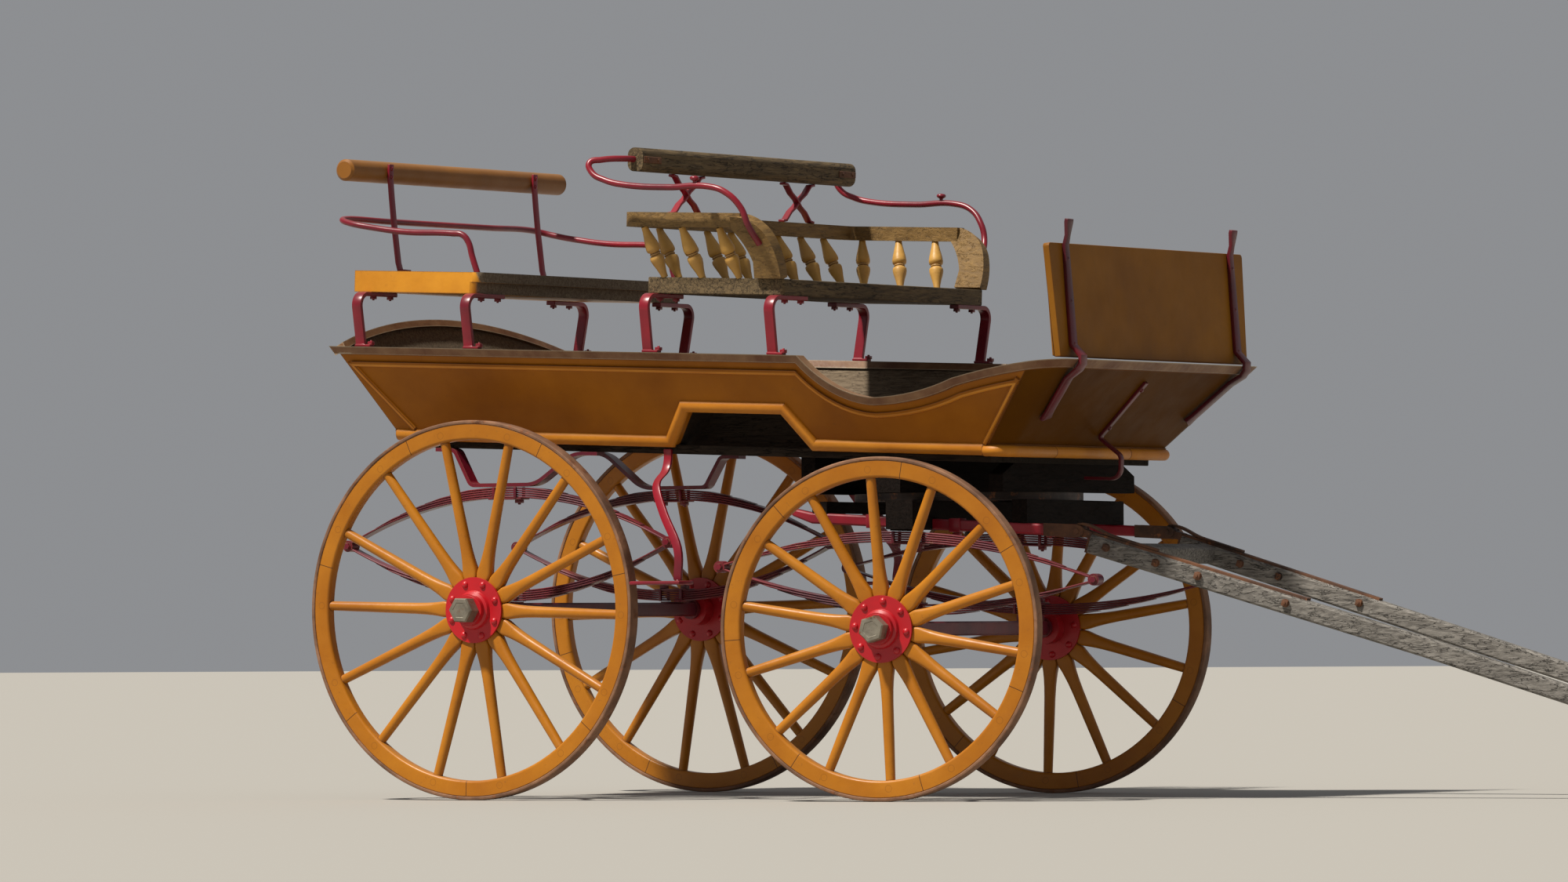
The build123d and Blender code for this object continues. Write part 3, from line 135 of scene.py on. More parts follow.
def put(kind, settings=None, tree=None, **inputs):
    """Add a shader node to the tree of what feeds it, set its options and fill its inputs.

    An input without a name is given as _ and its number.
    """
    if tree is None:
        tree = next(value.id_data for value in inputs.values() if isinstance(value, bpy.types.NodeSocket))
    made = tree.nodes.new("ShaderNode" + kind)
    for key, value in (settings or {}).items():
        setattr(made, key, value)
    for key, value in inputs.items():
        fill(made.inputs[int(key[1:]) if key[1:].isdigit() else key.replace("_", " ")], value)
    return made


def effect(name, inputs, outputs):
    """Start a node group that reads a Vector and these numbers, and gives these masks, or a Color."""
    tree = bpy.data.node_groups.new(name, "ShaderNodeTree")
    tree.interface.new_socket("Vector", in_out="INPUT", socket_type="NodeSocketVector")
    for title, value in inputs.items():
        tree.interface.new_socket(title, in_out="INPUT", socket_type="NodeSocketFloat").default_value = value
    for title in outputs:
        kind = "NodeSocketColor" if title == "Color" else "NodeSocketFloat"
        tree.interface.new_socket(title, in_out="OUTPUT", socket_type=kind)
    return tree, tree.nodes.new("NodeGroupInput").outputs, tree.nodes.new("NodeGroupOutput").inputs


def use(group, vector, **inputs):
    """Place a node group in a material and fill its inputs."""
    return put("Group", {"node_tree": group}, Vector=vector, **inputs).outputs


def blend(factor, first, second):
    """The colour between two others at this factor."""
    settings = {"data_type": "RGBA", "clamp_factor": True}
    return put("Mix", settings, _0=factor, _6=first, _7=second).outputs[2]


def reckon(how, *values):
    """A Math node's result."""
    return put("Math", {"operation": how}, **{f"_{n}": value for n, value in enumerate(values)}).outputs[0]


def times(first, second):
    """The product of two values."""
    return reckon("MULTIPLY", first, second)


def minus(first, second):
    """The first value less the second."""
    return reckon("SUBTRACT", first, second)


def stretch(value, low, high):
    """Where the value lies between low and high, as 0 to 1."""
    return put("MapRange", Value=value, From_Min=low, From_Max=high).outputs["Result"]


def noise(vector, scale, detail, roughness=0.5, distortion=0.0):
    """Cloudy noise between 0 and 1."""
    return put("TexNoise", Vector=vector, Scale=scale, Detail=detail, Roughness=roughness,
               Distortion=distortion).outputs[0]


tree, given, out = effect("sun_patches", {"Scale": 3}, ["Patches", "Spots", "Ripple"])
wide = noise(given["Vector"], given["Scale"], 5, 0.6)
fine = noise(given["Vector"], times(given["Scale"], 22), 4, 0.7)
fill(out["Patches"], stretch(wide, 0.36, 0.66))
fill(out["Spots"], stretch(fine, 0.62, 0.74))
fill(out["Ripple"], noise(given["Vector"], times(given["Scale"], 6), 3))
sun_patches = tree

tree, given, out = effect("worn_edges", {"Radius": 0.004, "Amount": 0.5}, ["Mask"])
softer = put("Bevel", {"samples": 4}, Radius=given["Radius"]).outputs[0]
surface = put("NewGeometry", tree=tree).outputs["Normal"]
likeness = put("VectorMath", {"operation": "DOT_PRODUCT"}, _0=softer, _1=surface).outputs["Value"]
edge = times(times(minus(1.0, likeness), 9.0), given["Amount"])
bitten = times(edge, noise(given["Vector"], 38, 5, 0.65))
fill(out["Mask"], stretch(bitten, 0.12, 0.3))
worn_edges = tree

tree, given, out = effect("rust_bloom", {"Scale": 14, "Amount": 0.5}, ["Mask", "Color"])
bloom = noise(given["Vector"], given["Scale"], 8, 0.68)
limit = minus(0.86, times(given["Amount"], 0.5))
tint = noise(given["Vector"], times(given["Scale"], 4), 5)
fill(out["Mask"], stretch(minus(bloom, limit), 0.0, 0.07))
fill(out["Color"], blend(stretch(tint, 0.35, 0.65), (0.05, 0.025, 0.015), (0.24, 0.09, 0.035)))
rust_bloom = tree


def start_material(name):
    """A new material, with its shader and its coordinates."""
    material = bpy.data.materials.new(name)
    material.use_nodes = True
    tree = material.node_tree
    return material, tree.nodes["Principled BSDF"], put("TexCoord", tree=tree).outputs


def coat(shader, colour, roughness, height, depth):
    """Give a shader its colour and its roughness, and bend its normal by a height."""
    fill(shader.inputs["Base Color"], colour)
    fill(shader.inputs["Roughness"], roughness)
    bump = put("Bump", Height=height, Distance=depth, Strength=1.0)
    fill(shader.inputs["Normal"], bump.outputs[0])


def facing_mask(here, direction, low, high):
    """1 where the surface faces this way."""
    along = put("VectorMath", {"operation": "DOT_PRODUCT"}, _0=here["Normal"], _1=direction)
    return stretch(along.outputs["Value"], low, high)


def dusty(here, colour, share, dust):
    """The colour with dust on what faces up."""
    return blend(times(facing_mask(here, (0, 0, 1), 0.6, 1.0), share), colour, dust)


def painted_iron(name, fresh, dull, rust):
    """Red paint brushed on iron, dulled in patches and lost to rust."""
    material, shader, here = start_material(name)
    patches = use(sun_patches, here["Object"], Scale=3)
    colour = blend(patches["Patches"], fresh, dull)
    bloom = use(rust_bloom, here["Object"], Scale=16, Amount=rust)
    chips = use(worn_edges, here["Object"], Radius=0.004, Amount=0.55 * rust)["Mask"]
    lost = reckon("MAXIMUM", bloom["Mask"], chips)
    colour = dusty(here, blend(lost, colour, bloom["Color"]), 0.12, (0.36, 0.22, 0.2))
    roughness = reckon("MULTIPLY_ADD", lost, 0.45, 0.34)
    coat(shader, colour, roughness, minus(patches["Ripple"], times(lost, 0.6)), 0.0012)
    return material


def dressed(material, *nodes):
    """Give CAD nodes this material in place of the one they came with."""
    for name in nodes:
        mesh = frame["nodes"][name].data
        mesh.materials.clear()
        mesh.materials.append(material)


spring_red = painted_iron("spring_red", DEEP_RED, PLUM, 0.42)
dressed(spring_red, "rear_axle", "front_axle", "loop_irons")

# Bolts, rivets and nuts: wrought iron, with domed rivets headed hot, square nuts drawn up on a washer with
# the bolt's end showing, and hexagon nuts at the springs' eyes. Each is modelled once and then copied.
NUT_HALF = 0.011


def put_down():
    """Leave edit mode and deselect everything."""
    if bpy.context.object is not None and bpy.context.object.mode != "OBJECT":
        bpy.ops.object.mode_set(mode="OBJECT")
    bpy.ops.object.select_all(action="DESELECT")


def take(*pieces):
    """Select these pieces alone, the first one active."""
    put_down()
    for piece in pieces:
        piece.select_set(True)
    bpy.context.view_layer.objects.active = pieces[0]


def rounded(piece, width, angle=35):
    """Round a piece's sharp edges with a Bevel modifier and apply it."""
    take(piece)
    bevel = piece.modifiers.new("rounding", "BEVEL")
    bevel.width = width
    bevel.segments = 2
    bevel.angle_limit = radians(angle)
    bpy.ops.object.modifier_apply(modifier=bevel.name)
    return piece


def bar(low, high, rounding=0.002, place=Matrix()):
    """A straight bar between two corners, its edges eased, moved to its place."""
    put_down()
    low, high = Vector(low), Vector(high)
    bpy.ops.mesh.primitive_cube_add(size=1, location=(low + high) / 2, scale=high - low)
    bpy.ops.object.transform_apply(location=True, rotation=True, scale=True)
    piece = rounded(bpy.context.object, rounding)
    piece.data.transform(place)
    return piece


def turned(profile, name, steps=24):
    """Turn a profile of (radius, height) pairs about the upright axis, as on a lathe."""
    put_down()
    bpy.ops.mesh.primitive_plane_add(size=0.01)
    piece = bpy.context.object
    piece.name = name
    piece.data.clear_geometry()
    piece.data.from_pydata([(r, 0, z) for r, z in profile], [(i, i + 1) for i in range(len(profile) - 1)], [])
    bpy.ops.object.mode_set(mode="EDIT")
    bpy.ops.mesh.select_all(action="SELECT")
    bpy.ops.mesh.spin(steps=steps, angle=tau, center=(0, 0, 0), axis=(0, 0, 1))
    bpy.ops.mesh.select_all(action="SELECT")
    bpy.ops.mesh.remove_doubles(threshold=0.00002)
    bpy.ops.mesh.normals_make_consistent(inside=False)
    bpy.ops.object.mode_set(mode="OBJECT")
    return piece


rivet = turned([(0, 0.0055), (0.0032, 0.0051), (0.0058, 0.0036), (0.0072, 0.0014), (0.0075, -0.001)],
               "rivet", 16)
washer = turned([(0.0145, -0.001), (0.0145, 0.0022), (0.0138, 0.003), (0.004, 0.003)], "washer", 20)
bolt_end = turned([(0.0052, 0.002), (0.0052, 0.0155), (0.0042, 0.0168), (0, 0.0172)], "bolt_end", 14)
square_nut = bar((-NUT_HALF, -NUT_HALF, 0.002), (NUT_HALF, NUT_HALF, 0.012), 0.0018)
take(square_nut, washer, bolt_end)
bpy.ops.object.join()
square_nut.name = "square_nut"
hexagon_nut = turned([(0.0105, 0.0), (0.0118, 0.0015), (0.0118, 0.0085), (0.0105, 0.010), (0, 0.010)],
                     "hexagon_nut", 6)

# Elliptic springs: two bows of five tempered steel plates each, shorter one on the other, their tips drawn
# out thinner. A bolted clip holds a bow together in its middle, and eyes with a bolt join the bows' ends.
REAR_RADIUS = 0.600
FRONT_RADIUS = 0.531
AXLE_HALF = 0.0225
LEAF_THICK = 0.007
LEAF_GAP = 0.0014
LEAF_HALF = 0.021
LEAF_EDGE = 0.0020
LEAF_COUNT = 5
LEAF_STEP = 0.095
SECOND_LEAF_SHORTER = 0.010
LEAF_BENDS = 28
TIP_LENGTH = 0.070
TIP_BREADTH = 0.62
TIP_THINNING = 0.75
SPRING_Y = 0.500
CLIP_BOLT_X = 0.040
EYE_R = 0.0185
EYE_CORE_R = 0.0125

# The fore-carriage stands turned a little to the left.
steering_at = joint_at["steering"]
axle_line = joint_at["front_left_wheel_turn"] - joint_at["front_right_wheel_turn"]
steer = Matrix.Rotation(atan2(-axle_line.x, axle_line.y), 4, "Z")
chassis_frame = Matrix.Translation(rear_axle_ground)
fore_frame = Matrix.Translation((steering_at.x, steering_at.y, 0)) @ steer
spring_rows = {
    # frame, half length, height, wheel's radius, block on the axle, pitch, body
    "rear": (chassis_frame, 0.602, 0.365, REAR_RADIUS, 0.004, 0.0, "carriage"),
    "front": (fore_frame, 0.630, 0.260, FRONT_RADIUS, 0.020, radians(2.3), "fore_carriage"),
}


def twin(model, place):
    """A copy of a model, with its own mesh, at this place."""
    copied = stand(model.name, model.data.copy())
    copied.data.transform(place)
    return copied


def pointed(point, direction, place, size=1.0):
    """A matrix that sets a model at a point of a frame, with its upright axis along the direction."""
    turn = Vector(direction).to_track_quat("Z", "Y").to_matrix().to_4x4()
    return place @ Matrix.Translation(point) @ turn @ Matrix.Scale(size, 4)


def discard(*models):
    """Take models away once their copies stand."""
    for model in models:
        bpy.data.objects.remove(model)


def finished(pieces, name, material, body, smooth=32):
    """Join pieces, name them, give them their finish, and let them ride on their body."""
    take(*pieces)
    if len(pieces) > 1:
        bpy.ops.object.join()
    piece = pieces[0]
    piece.name = piece.data.name = name
    piece.data.materials.clear()
    piece.data.materials.append(material)
    bpy.ops.object.shade_smooth_by_angle(angle=radians(smooth))
    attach(piece, body)
    put_down()
    return piece


def lofted(rings):
    """A closed skin over rings of points, which all have the same count."""
    size = len(rings[0])
    faces = [list(range(size)), [len(rings) * size - 1 - i for i in range(size)]]
    for r in range(len(rings) - 1):
        for s in range(size):
            t = (s + 1) % size
            faces.append([r * size + s, r * size + t, (r + 1) * size + t, (r + 1) * size + s])
    mesh = bpy.data.meshes.new("bar")
    mesh.from_pydata([p for ring in rings for p in ring], [], faces)
    piece = stand("bar", mesh)
    take(piece)
    bpy.ops.object.mode_set(mode="EDIT")
    bpy.ops.mesh.select_all(action="SELECT")
    bpy.ops.mesh.normals_make_consistent(inside=False)
    put_down()
    return piece


def laid_along(path, outs, section, place=Matrix(), breadths=None):
    """A bar laid along a path, mitred at its corners, closed at its ends and moved to its place.

    The section is a ring of (across, out) pairs. Outs is the way out, one for the whole path or one for each of
    its points, and breadths widens or narrows the section there.
    """
    path = [Vector(point) for point in path]
    if not isinstance(outs, list):
        outs = [Vector(outs)] * len(path)
    rings = []
    for number, (point, out, breadth) in enumerate(zip(path, outs, breadths or [1] * len(path))):
        come = (point - path[number - 1]).normalized() if number else None
        go = (path[number + 1] - point).normalized() if number < len(path) - 1 else come
        come = come or go
        along = (come + go).normalized()
        spread = 1 / max(0.4, along.dot(come))
        across = along.cross(out).normalized() * spread * breadth
        rings.append([point + across * a + out * o for a, o in section])
    piece = lofted(rings)
    piece.data.transform(place)
    return piece


def spring_leaf(number, half, rise):
    """One plate of an upper bow, round the bow's own arc."""
    radius = (half ** 2 + rise ** 2) / (2 * rise)
    reach = half - number * LEAF_STEP - (SECOND_LEAF_SHORTER if number else 0)
    inner = radius + number * LEAF_THICK
    angle = asin(reach / radius)
    centre = Vector((0, 0, rise - radius))
    bends = (angle * (2 * bend / LEAF_BENDS - 1) for bend in range(LEAF_BENDS + 1))
    path = [Vector((inner * sin(a), 0, centre.z + inner * cos(a))) for a in bends]
    w, t, e = LEAF_HALF, LEAF_THICK - LEAF_GAP, LEAF_EDGE
    section = [(-w + e, 0), (w - e, 0), (w, e), (w, t - e), (w - e, t), (-w + e, t), (-w, t - e), (-w, e)]
    leaf = laid_along(path, [(point - centre).normalized() for point in path], section)
    for vertex in leaf.data.vertices:
        left = reach - abs(vertex.co.x)
        if number and left < TIP_LENGTH:
            share = max(0, left) / TIP_LENGTH
            vertex.co.y *= TIP_BREADTH + (1 - TIP_BREADTH) * share
            out = Vector((vertex.co.x, 0, vertex.co.z)) - centre
            thin = (out.length - inner) * (1 - share) * TIP_THINNING
            vertex.co -= out.normalized() * max(0, thin)
    return leaf


def spring_clip(rise):
    """The clip round the middle of a bow: a plate under the leaves, four posts, and two bolts with nuts."""
    top = rise + LEAF_COUNT * LEAF_THICK
    under = bar((-0.062, -0.027, rise - 0.006), (0.062, 0.027, rise))
    nuts = [twin(square_nut, pointed((x, 0, rise - 0.005), (0, 0, -1), Matrix()))
            for x in (-CLIP_BOLT_X, CLIP_BOLT_X)]
    posts = [bar((x - 0.005, s * 0.0255 - 0.004, rise - 0.004), (x + 0.005, s * 0.0255 + 0.004, top - 0.001))
             for x in (-CLIP_BOLT_X, CLIP_BOLT_X) for s in (-1, 1)]
    return [under, *nuts, *posts]


eye_half = [(0, -0.023), (EYE_CORE_R, -0.023), (EYE_CORE_R, -0.0215), (EYE_R, -0.0215)]
eye = turned(eye_half + [(r, -z) for r, z in reversed(eye_half)], "eye", 20)
for end, (place, half, height, radius, block, pitch, body) in spring_rows.items():
    middle = radius + AXLE_HALF + block + height / 2
    rise = height / 2 - LEAF_COUNT * LEAF_THICK
    bow = [spring_leaf(number, half, rise) for number in range(LEAF_COUNT)] + spring_clip(rise)
    pieces = []
    for sign in (-1, 1):
        seat = place @ Matrix.Translation((0, sign * SPRING_Y, middle)) @ Matrix.Rotation(pitch, 4, "Y")
        for turn in (Matrix(), Matrix.Rotation(pi, 4, "X")):
            pieces += [twin(part, seat @ turn) for part in bow]
        for x in (-half, half):
            pieces.append(twin(eye, seat @ Matrix.Translation((x, 0, 0)) @ Matrix.Rotation(pi / 2, 4, "X")))
            pieces += [twin(hexagon_nut, pointed((x, hand * 0.0205, 0), (0, hand, 0), seat, 0.95))
                       for hand in (-1, 1)]
    discard(*bow)
    springs = finished(pieces, f"{end}_spring_leaves", spring_red, body)
    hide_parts(f"{end}_springs")
discard(eye, hexagon_nut)

# Hub caps: six-sided cast iron, bare of paint, screwed on over the axle's end with a red ring behind. Cap and
# ring are modelled once here, and set on with the wheels.
CAP_OUT = 0.040
CAP_RING_BACK = 0.006
cap_profile = [(0.0360, 0.0), (0.0372, 0.003), (0.0372, 0.0420), (0.0335, 0.0475), (0.0270, 0.0478),
               (0.0255, 0.0466), (0.012, 0.0464), (0, 0.0468)]
cap = turned([(r / cos(pi / 6) if number < 4 else r, z) for number, (r, z) in enumerate(cap_profile)],
             "cap", 6)
cap_ring = turned([(0.0455, -0.002), (0.0475, 0.0), (0.0475, 0.005), (0.0455, 0.007), (0.03, 0.007)], "ring", 40)

# Wheels: fourteen ash spokes driven into seven ash felloes, in gloss ochre, with an iron tyre shrunk on. The
# spokes' feet stand between the two flanges of a cast nave in bright red, which rivets draw together.
OCHRE_LIT = (0.43, 0.158, 0.009)
OCHRE_DEEP = (0.34, 0.112, 0.005)
OLD_PRIMER = (0.16, 0.06, 0.02)
BRIGHT_RED = (0.46, 0.006, 0.012)
SIDES = {"right": -1, "left": 1}
FELLOES = 7
SPOKES = 14
SPOKE_SHOULDER = 0.108
SPOKE_TIP = 0.0295
SPOKE_SIDES = 20
TYRE_THICK = 0.012
FELLOE_HALF = 0.0205
FELLOE_ROUND = 0.009
FELLOE_EDGE = 0.0015
PLUG_R = 0.0105
DISH = 0.026
NAVE_HALF = 0.019
FLANGE = 0.008
BLOCK_INNER, BLOCK_OUTER = 0.046, 0.098
RIVETS = 8
RIVET_CIRCLE = 0.086
wheel_rows = {
    # frame, radius, felloe depth, turn of the spokes
    "rear": (chassis_frame, REAR_RADIUS, 0.050, radians(-1.9)),
    "front": (fore_frame, FRONT_RADIUS, 0.053, radians(16.5)),
}
# Each row: distance along the spoke, its breadth round the wheel, its thickness along the axle, and how
# square its section is.
spoke_rows = ((0.080, 0.0352, 0.0372, 5.0), (0.104, 0.0460, 0.0370, 5.0), (0.114, 0.0502, 0.0368, 5.0),
              (0.122, 0.0506, 0.0366, 4.6), (0.132, 0.0482, 0.0364, 4.0), (0.146, 0.0446, 0.0362, 3.3),
              (0.164, 0.0412, 0.0360, 2.8), (0.188, 0.0382, 0.0357, 2.4), (0.225, 0.0358, 0.0352, 2.2),
              (0.330, 0.0335, 0.0335, 2.1))

tree, given, out = effect("wood_grain", {"Scale": 1}, ["Fibres", "Cracks"])
scaled = put("VectorMath", {"operation": "SCALE"}, _0=given["Vector"], Scale=given["Scale"]).outputs[0]
checks = noise(scaled, 4.2, 6, 0.62, 0.5)
fill(out["Fibres"], stretch(noise(scaled, 9, 8, 0.72, 0.3), 0.3, 0.72))
fill(out["Cracks"], stretch(reckon("ABSOLUTE", minus(checks, 0.5)), 0.012, 0.0))
wood_grain = tree


def painted(name, fresh, faded, wear, bare=OLD_PRIMER, rough=0.42, inside=None, scale=2.5, grime=0.25,
            gloss=0.3):
    """Brushed gloss paint that the sun has faded in patches, worn through along its edges.

    What faces the inside is left as bare boards.
    """
    material, shader, here = start_material(name)
    patches = use(sun_patches, here["Object"], Scale=scale)
    colour = blend(patches["Patches"], fresh, faded)
    colour = blend(times(patches["Spots"], grime), colour, (0.06, 0.035, 0.02))
    chips = use(worn_edges, here["Object"], Radius=0.006, Amount=wear)["Mask"]
    colour = dusty(here, blend(chips, colour, bare), 0.14, (0.42, 0.33, 0.22))
    roughness = reckon("MULTIPLY_ADD", patches["Ripple"], 0.3, rough - 0.12)
    if inside is not None:
        lengthwise = put("Mapping", Vector=here["Object"], Scale=(1.2, 9, 9))
        grain = use(wood_grain, lengthwise.outputs[0], Scale=1.6)
        boards = blend(grain["Fibres"], (0.075, 0.052, 0.033), (0.26, 0.2, 0.135))
        boards = blend(grain["Cracks"], boards, (0.015, 0.01, 0.007))
        inner = facing_mask(here, inside, 0.35, 0.5)
        colour = blend(inner, colour, boards)
        roughness = reckon("MAXIMUM", roughness, times(inner, 0.85))
    coat(shader, colour, roughness, minus(patches["Ripple"], times(chips, 0.5)), 0.0012)
    shader.inputs["Specular IOR Level"].default_value = gloss
    return material


def wheel_paint(name, hub, radius, depth, turn):
    """Gloss ochre, with the joints between the felloes and the plugs over the spokes' ends showing through."""
    material = painted(name, OCHRE_LIT, OCHRE_DEEP, 0.35, rough=0.36, scale=3.5, grime=0.35)
    tree = material.node_tree
    back = hub.inverted()
    here = put("TexCoord", tree=tree).outputs["Object"]
    here = put("Mapping", Vector=here, Location=back.translation, Rotation=back.to_euler()).outputs[0]
    part = put("SeparateXYZ", Vector=here).outputs

    def longest(a, b):
        """The long side of the right triangle with these two sides."""
        return reckon("SQRT", reckon("ADD", times(a, a), times(b, b)))

    def from_marks(first, count):
        """How far a point lies, round the wheel, from the nearest of evenly spaced marks."""
        step = tau / count
        mark = reckon("ADD", reckon("DIVIDE", minus(angle, first), step), 20.5)
        return times(times(minus(reckon("FRACT", mark), 0.5), step), out)

    angle = reckon("ARCTAN2", part["Y"], part["X"])
    out = longest(part["X"], part["Y"])
    tread = radius - TYRE_THICK
    gap = reckon("ABSOLUTE", from_marks(turn + pi / SPOKES, FELLOES))
    felloe = reckon("GREATER_THAN", out, tread - depth + 0.001)
    joint = times(stretch(gap, 0.0016, 0.0006), felloe)
    plug = longest(from_marks(turn, SPOKES), minus(out, tread - depth * 0.52))
    ring = stretch(reckon("ABSOLUTE", minus(plug, PLUG_R)), 0.0011, 0.0004)
    marks = reckon("MAXIMUM", joint, times(ring, 0.35))
    colour = tree.nodes["Principled BSDF"].inputs["Base Color"]
    fill(colour, blend(marks, colour.links[0].from_socket, (0.05, 0.02, 0.008)))
    return material


def superellipse(breadth, thick, square, sides):
    """A ring of (across, out) pairs between an ellipse and a rectangle."""
    ring = []
    for number in range(sides):
        a = tau * number / sides
        c, d = cos(a), sin(a)
        ring.append((breadth / 2 * copysign(abs(c) ** (2 / square), c),
                     thick / 2 * copysign(abs(d) ** (2 / square), d)))
    return ring


def wheel_wood(radius, depth, turn, hub):
    """Spokes, with the felloe ring round them and the block between the flanges."""
    tread = radius - TYRE_THICK
    inner = tread - depth
    length = inner + depth / 4
    rings = []
    for along, breadth, thick, square in (*spoke_rows, (length, SPOKE_TIP, SPOKE_TIP, 2.1)):
        out = -DISH * (1 - max(0, along - SPOKE_SHOULDER) / (length - SPOKE_SHOULDER))
        rings.append([Vector((along, a, out + o)) for a, o in superellipse(breadth, thick, square, SPOKE_SIDES)])
    spoke = lofted(rings)
    eased_edge = [(inner + FELLOE_ROUND * (1 - cos(a)), FELLOE_HALF - FELLOE_ROUND * (1 - sin(a)))
                  for a in (pi / 2 * i / 5 for i in range(6))]
    profile = [(inner, 0.0), *eased_edge, (tread - FELLOE_EDGE, FELLOE_HALF), (tread, FELLOE_HALF - FELLOE_EDGE)]
    felloes = turned(profile + [(r, -z) for r, z in reversed(profile[1:])] + [(inner, 0.0)], "felloes", 112)
    low, high = -DISH - NAVE_HALF, -DISH + NAVE_HALF
    block = turned([(BLOCK_INNER, low), (BLOCK_OUTER, low), (BLOCK_OUTER, high), (BLOCK_INNER, high),
                    (BLOCK_INNER, low)], "block", 56)
    pieces = [twin(spoke, hub @ Matrix.Rotation(turn + tau * n / SPOKES, 4, "Z")) for n in range(SPOKES)]
    pieces += [twin(felloes, hub), twin(block, hub)]
    discard(spoke, felloes, block)
    return pieces


def rusted(name, light, dark, rough=0.75, shine=0.35, scale=7):
    """Iron with no paint left, brown all over and polished a little where it is touched."""
    material, shader, here = start_material(name)
    patches = use(sun_patches, here["Object"], Scale=scale)
    colour = blend(patches["Patches"], dark, light)
    bloom = use(rust_bloom, here["Object"], Scale=22, Amount=0.6)
    colour = blend(bloom["Mask"], colour, bloom["Color"])
    coat(shader, colour, reckon("MULTIPLY_ADD", patches["Spots"], 0.15, rough), patches["Ripple"], 0.0015)
    shader.inputs["Metallic"].default_value = shine
    return material


def softened(width, *nodes):
    """Ease the edges of CAD nodes: their triangles are merged into flat faces and bevelled."""
    for name in nodes:
        node = frame["nodes"][name]
        weld = node.modifiers.new("weld", "WELD")
        weld.merge_threshold = 0.00002
        flat = node.modifiers.new("flat", "DECIMATE")
        flat.decimate_type = "DISSOLVE"
        flat.angle_limit = radians(1.5)
        ease = node.modifiers.new("ease", "BEVEL")
        ease.width = width
        ease.segments = 2
        ease.angle_limit = radians(32)
        ease.use_clamp_overlap = True


def fastened(model, places, name, material, body):
    """Copies of a bolt, rivet or nut at these places, as one piece on one body."""
    return finished([twin(model, place) for place in places], name, material, body, smooth=40)


nave_red = painted_iron("nave_red", BRIGHT_RED, (0.30, 0.006, 0.012), 0.12)
tyre_rust = rusted("tyre_rust", (0.30, 0.155, 0.085), (0.12, 0.06, 0.035))
cap_grey = rusted("cap_grey", (0.30, 0.27, 0.21), (0.15, 0.13, 0.10), rough=0.5, shine=0.55, scale=12)

for end, (place, radius, depth, turn) in wheel_rows.items():
    for hand, sign in SIDES.items():
        hub = place @ Matrix.Rotation(-sign * pi / 2, 4, "X")
        hub.translation = joint_at[f"{end}_{hand}_wheel_turn"]
        body = f"{end}_wheel_{hand}"
        wood = finished(wheel_wood(radius, depth, turn, hub), f"{body}_spokes_and_felloes",
                        wheel_paint(f"{body}_ochre", hub, radius, depth, turn), body, smooth=38)
        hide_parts(f"{body}_wood")
        dressed(nave_red, f"{body}_nave")
        dressed(tyre_rust, f"{body}_tyre")
        softened(0.0035, f"{body}_tyre")
        spots = []
        for number in range(RIVETS):
            a = turn + tau * (number + 0.5) / RIVETS
            for z, flip in ((-DISH + NAVE_HALF + FLANGE, 0), (-DISH - NAVE_HALF - FLANGE, pi)):
                spots.append(hub @ Matrix.Translation((RIVET_CIRCLE * cos(a), RIVET_CIRCLE * sin(a), z))
                             @ Matrix.Rotation(flip, 4, "X") @ Matrix.Scale(1.5, 4))
        fastened(rivet, spots, f"{body}_rivets", nave_red, body)
        cap_seat = hub @ Matrix.Translation((0, 0, -DISH + NAVE_HALF + CAP_OUT)) @ Matrix.Rotation(turn, 4, "Z")
        finished([twin(cap, cap_seat)], f"{body}_cap", cap_grey, body, smooth=25)
        ring_seat = cap_seat @ Matrix.Translation((0, 0, -CAP_RING_BACK))
        finished([twin(cap_ring, ring_seat)], f"{body}_cap_ring", nave_red, body)
discard(cap, cap_ring)

# Beds, bearers and sills: squared timber, bolted through and black with age and grease. The turning ring's
# two flat iron hoops are let into them, and slide on each other round the king pin.


def old_timber(name, dark, light, along=(1, 9, 9), scale=1.5, rough=0.8, gloss=0.3, cracked=1.0):
    """Weathered timber whose grain runs along the axis with the small share."""
    material, shader, here = start_material(name)
    lengthwise = put("Mapping", Vector=here["Object"], Scale=along)
    grain = use(wood_grain, lengthwise.outputs[0], Scale=scale)
    patches = use(sun_patches, here["Object"], Scale=3)
    colour = blend(grain["Fibres"], dark, light)
    colour = blend(times(patches["Patches"], 0.4), colour, dark)
    cracks = times(grain["Cracks"], cracked)
    colour = blend(cracks, colour, (0.012, 0.009, 0.007))
    coat(shader, colour, reckon("MULTIPLY_ADD", grain["Fibres"], 0.15, rough - 0.1),
         minus(grain["Fibres"], times(cracks, 2.0)), 0.0012)
    shader.inputs["Specular IOR Level"].default_value = gloss
    return material


dressed(old_timber("bed_timber", (0.006, 0.0045, 0.004), (0.020, 0.014, 0.011), along=(9, 1, 9),
                   gloss=0.06), "upper_bed", "lower_bed", "ring_bearers")
dressed(old_timber("sill_timber", (0.012, 0.009, 0.007), (0.045, 0.031, 0.021), gloss=0.1),
        "body_sills", "floor_board", "step_recesses")
dressed(rusted("ring_iron", (0.07, 0.045, 0.035), (0.02, 0.016, 0.014), rough=0.55),
        "upper_ring", "lower_ring", "king_pin")
softened(0.003, "lower_bed", "body_sills")

